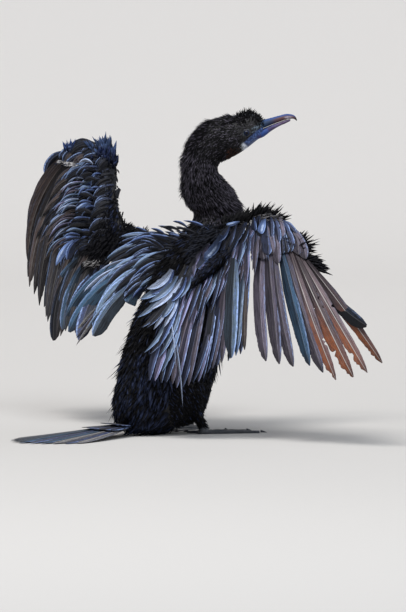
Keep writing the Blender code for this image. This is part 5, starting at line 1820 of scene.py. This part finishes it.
class CormorantStage(bpy.types.PropertyGroup):
    """The studio."""

    floor_colour: FloatVectorProperty(
        name="Floor", description="Colour of the floor", subtype="COLOR", default=(0.42, 0.408, 0.395)
    )
    backdrop_colour: FloatVectorProperty(
        name="Backdrop", description="Colour of the backdrop", subtype="COLOR", default=(0.90, 0.865, 0.82)
    )
    key_power: FloatProperty(
        name="Key light", description="Power of the key light", default=62.0, unit="POWER"
    )
    ambient: FloatProperty(
        name="Ambient", description="Strength of the light from all round", default=0.60
    )


class CORMORANT_OT_skin(bpy.types.Operator):
    """Builds the skin, the coat of small feathers and the crest"""

    bl_idname = "cormorant.skin"
    bl_label = "Skin and coat"

    def execute(self, context):
        settings = context.scene.cormorant_coat
        make_coat(settings, make_skin(settings))
        make_crest(settings)
        return {"FINISHED"}


class CORMORANT_OT_wings(bpy.types.Operator):
    """Builds the large feathers and front fringes of both wings"""

    bl_idname = "cormorant.wings"
    bl_label = "Wing feathers"

    def execute(self, context):
        make_flight(context.scene.cormorant_wings)
        make_fringes()
        return {"FINISHED"}


class CORMORANT_OT_tail(bpy.types.Operator):
    """Builds the tail feathers"""

    bl_idname = "cormorant.tail"
    bl_label = "Tail feathers"

    def execute(self, context):
        make_tail(context.scene.cormorant_wings)
        return {"FINISHED"}


class CORMORANT_OT_face(bpy.types.Operator):
    """Builds the bill and the eyes"""

    bl_idname = "cormorant.face"
    bl_label = "Bill and eyes"

    def execute(self, context):
        make_bill("bill_upper", BILL_UPPER, True)
        make_bill("bill_lower", BILL_LOWER, False)
        make_eye("eye_left", 1)
        make_eye("eye_right", -1)
        return {"FINISHED"}


class CORMORANT_OT_feet(bpy.types.Operator):
    """Builds the webbed feet"""

    bl_idname = "cormorant.feet"
    bl_label = "Feet"

    def execute(self, context):
        make_foot("foot_left", 1)
        make_foot("foot_right", -1)
        return {"FINISHED"}


class CORMORANT_OT_stage(bpy.types.Operator):
    """Builds the camera, floor and lights"""

    bl_idname = "cormorant.stage"
    bl_label = "Studio"

    def execute(self, context):
        make_stage(context.scene.cormorant_stage)
        return {"FINISHED"}


OPERATORS = (
    CORMORANT_OT_stage, CORMORANT_OT_skin, CORMORANT_OT_wings,
    CORMORANT_OT_tail, CORMORANT_OT_face, CORMORANT_OT_feet,
)


class CORMORANT_PT_panel(bpy.types.Panel):
    """Lists the steps that dress the bird"""

    bl_idname = "CORMORANT_PT_panel"
    bl_label = "Cormorant"
    bl_space_type = "VIEW_3D"
    bl_region_type = "UI"
    bl_category = "Cormorant"

    def draw(self, context):
        for operator in OPERATORS:
            self.layout.operator(operator.bl_idname)


GROUPS = (
    ("cormorant_coat", CormorantCoat), ("cormorant_wings", CormorantWings),
    ("cormorant_stage", CormorantStage),
)
CLASSES = tuple(group for _, group in GROUPS) + OPERATORS + (CORMORANT_PT_panel,)


def register():
    for kind in CLASSES:
        bpy.utils.register_class(kind)
    for name, group in GROUPS:
        setattr(bpy.types.Scene, name, PointerProperty(type=group))


def unregister():
    for name, _ in GROUPS:
        delattr(bpy.types.Scene, name)
    for kind in reversed(CLASSES):
        bpy.utils.unregister_class(kind)


def main():
    register()
    for operator in OPERATORS:
        group, step = operator.bl_idname.split(".")
        getattr(getattr(bpy.ops, group), step)()
    bpy.context.view_layer.update()


if __name__ == "__main__":
    main()
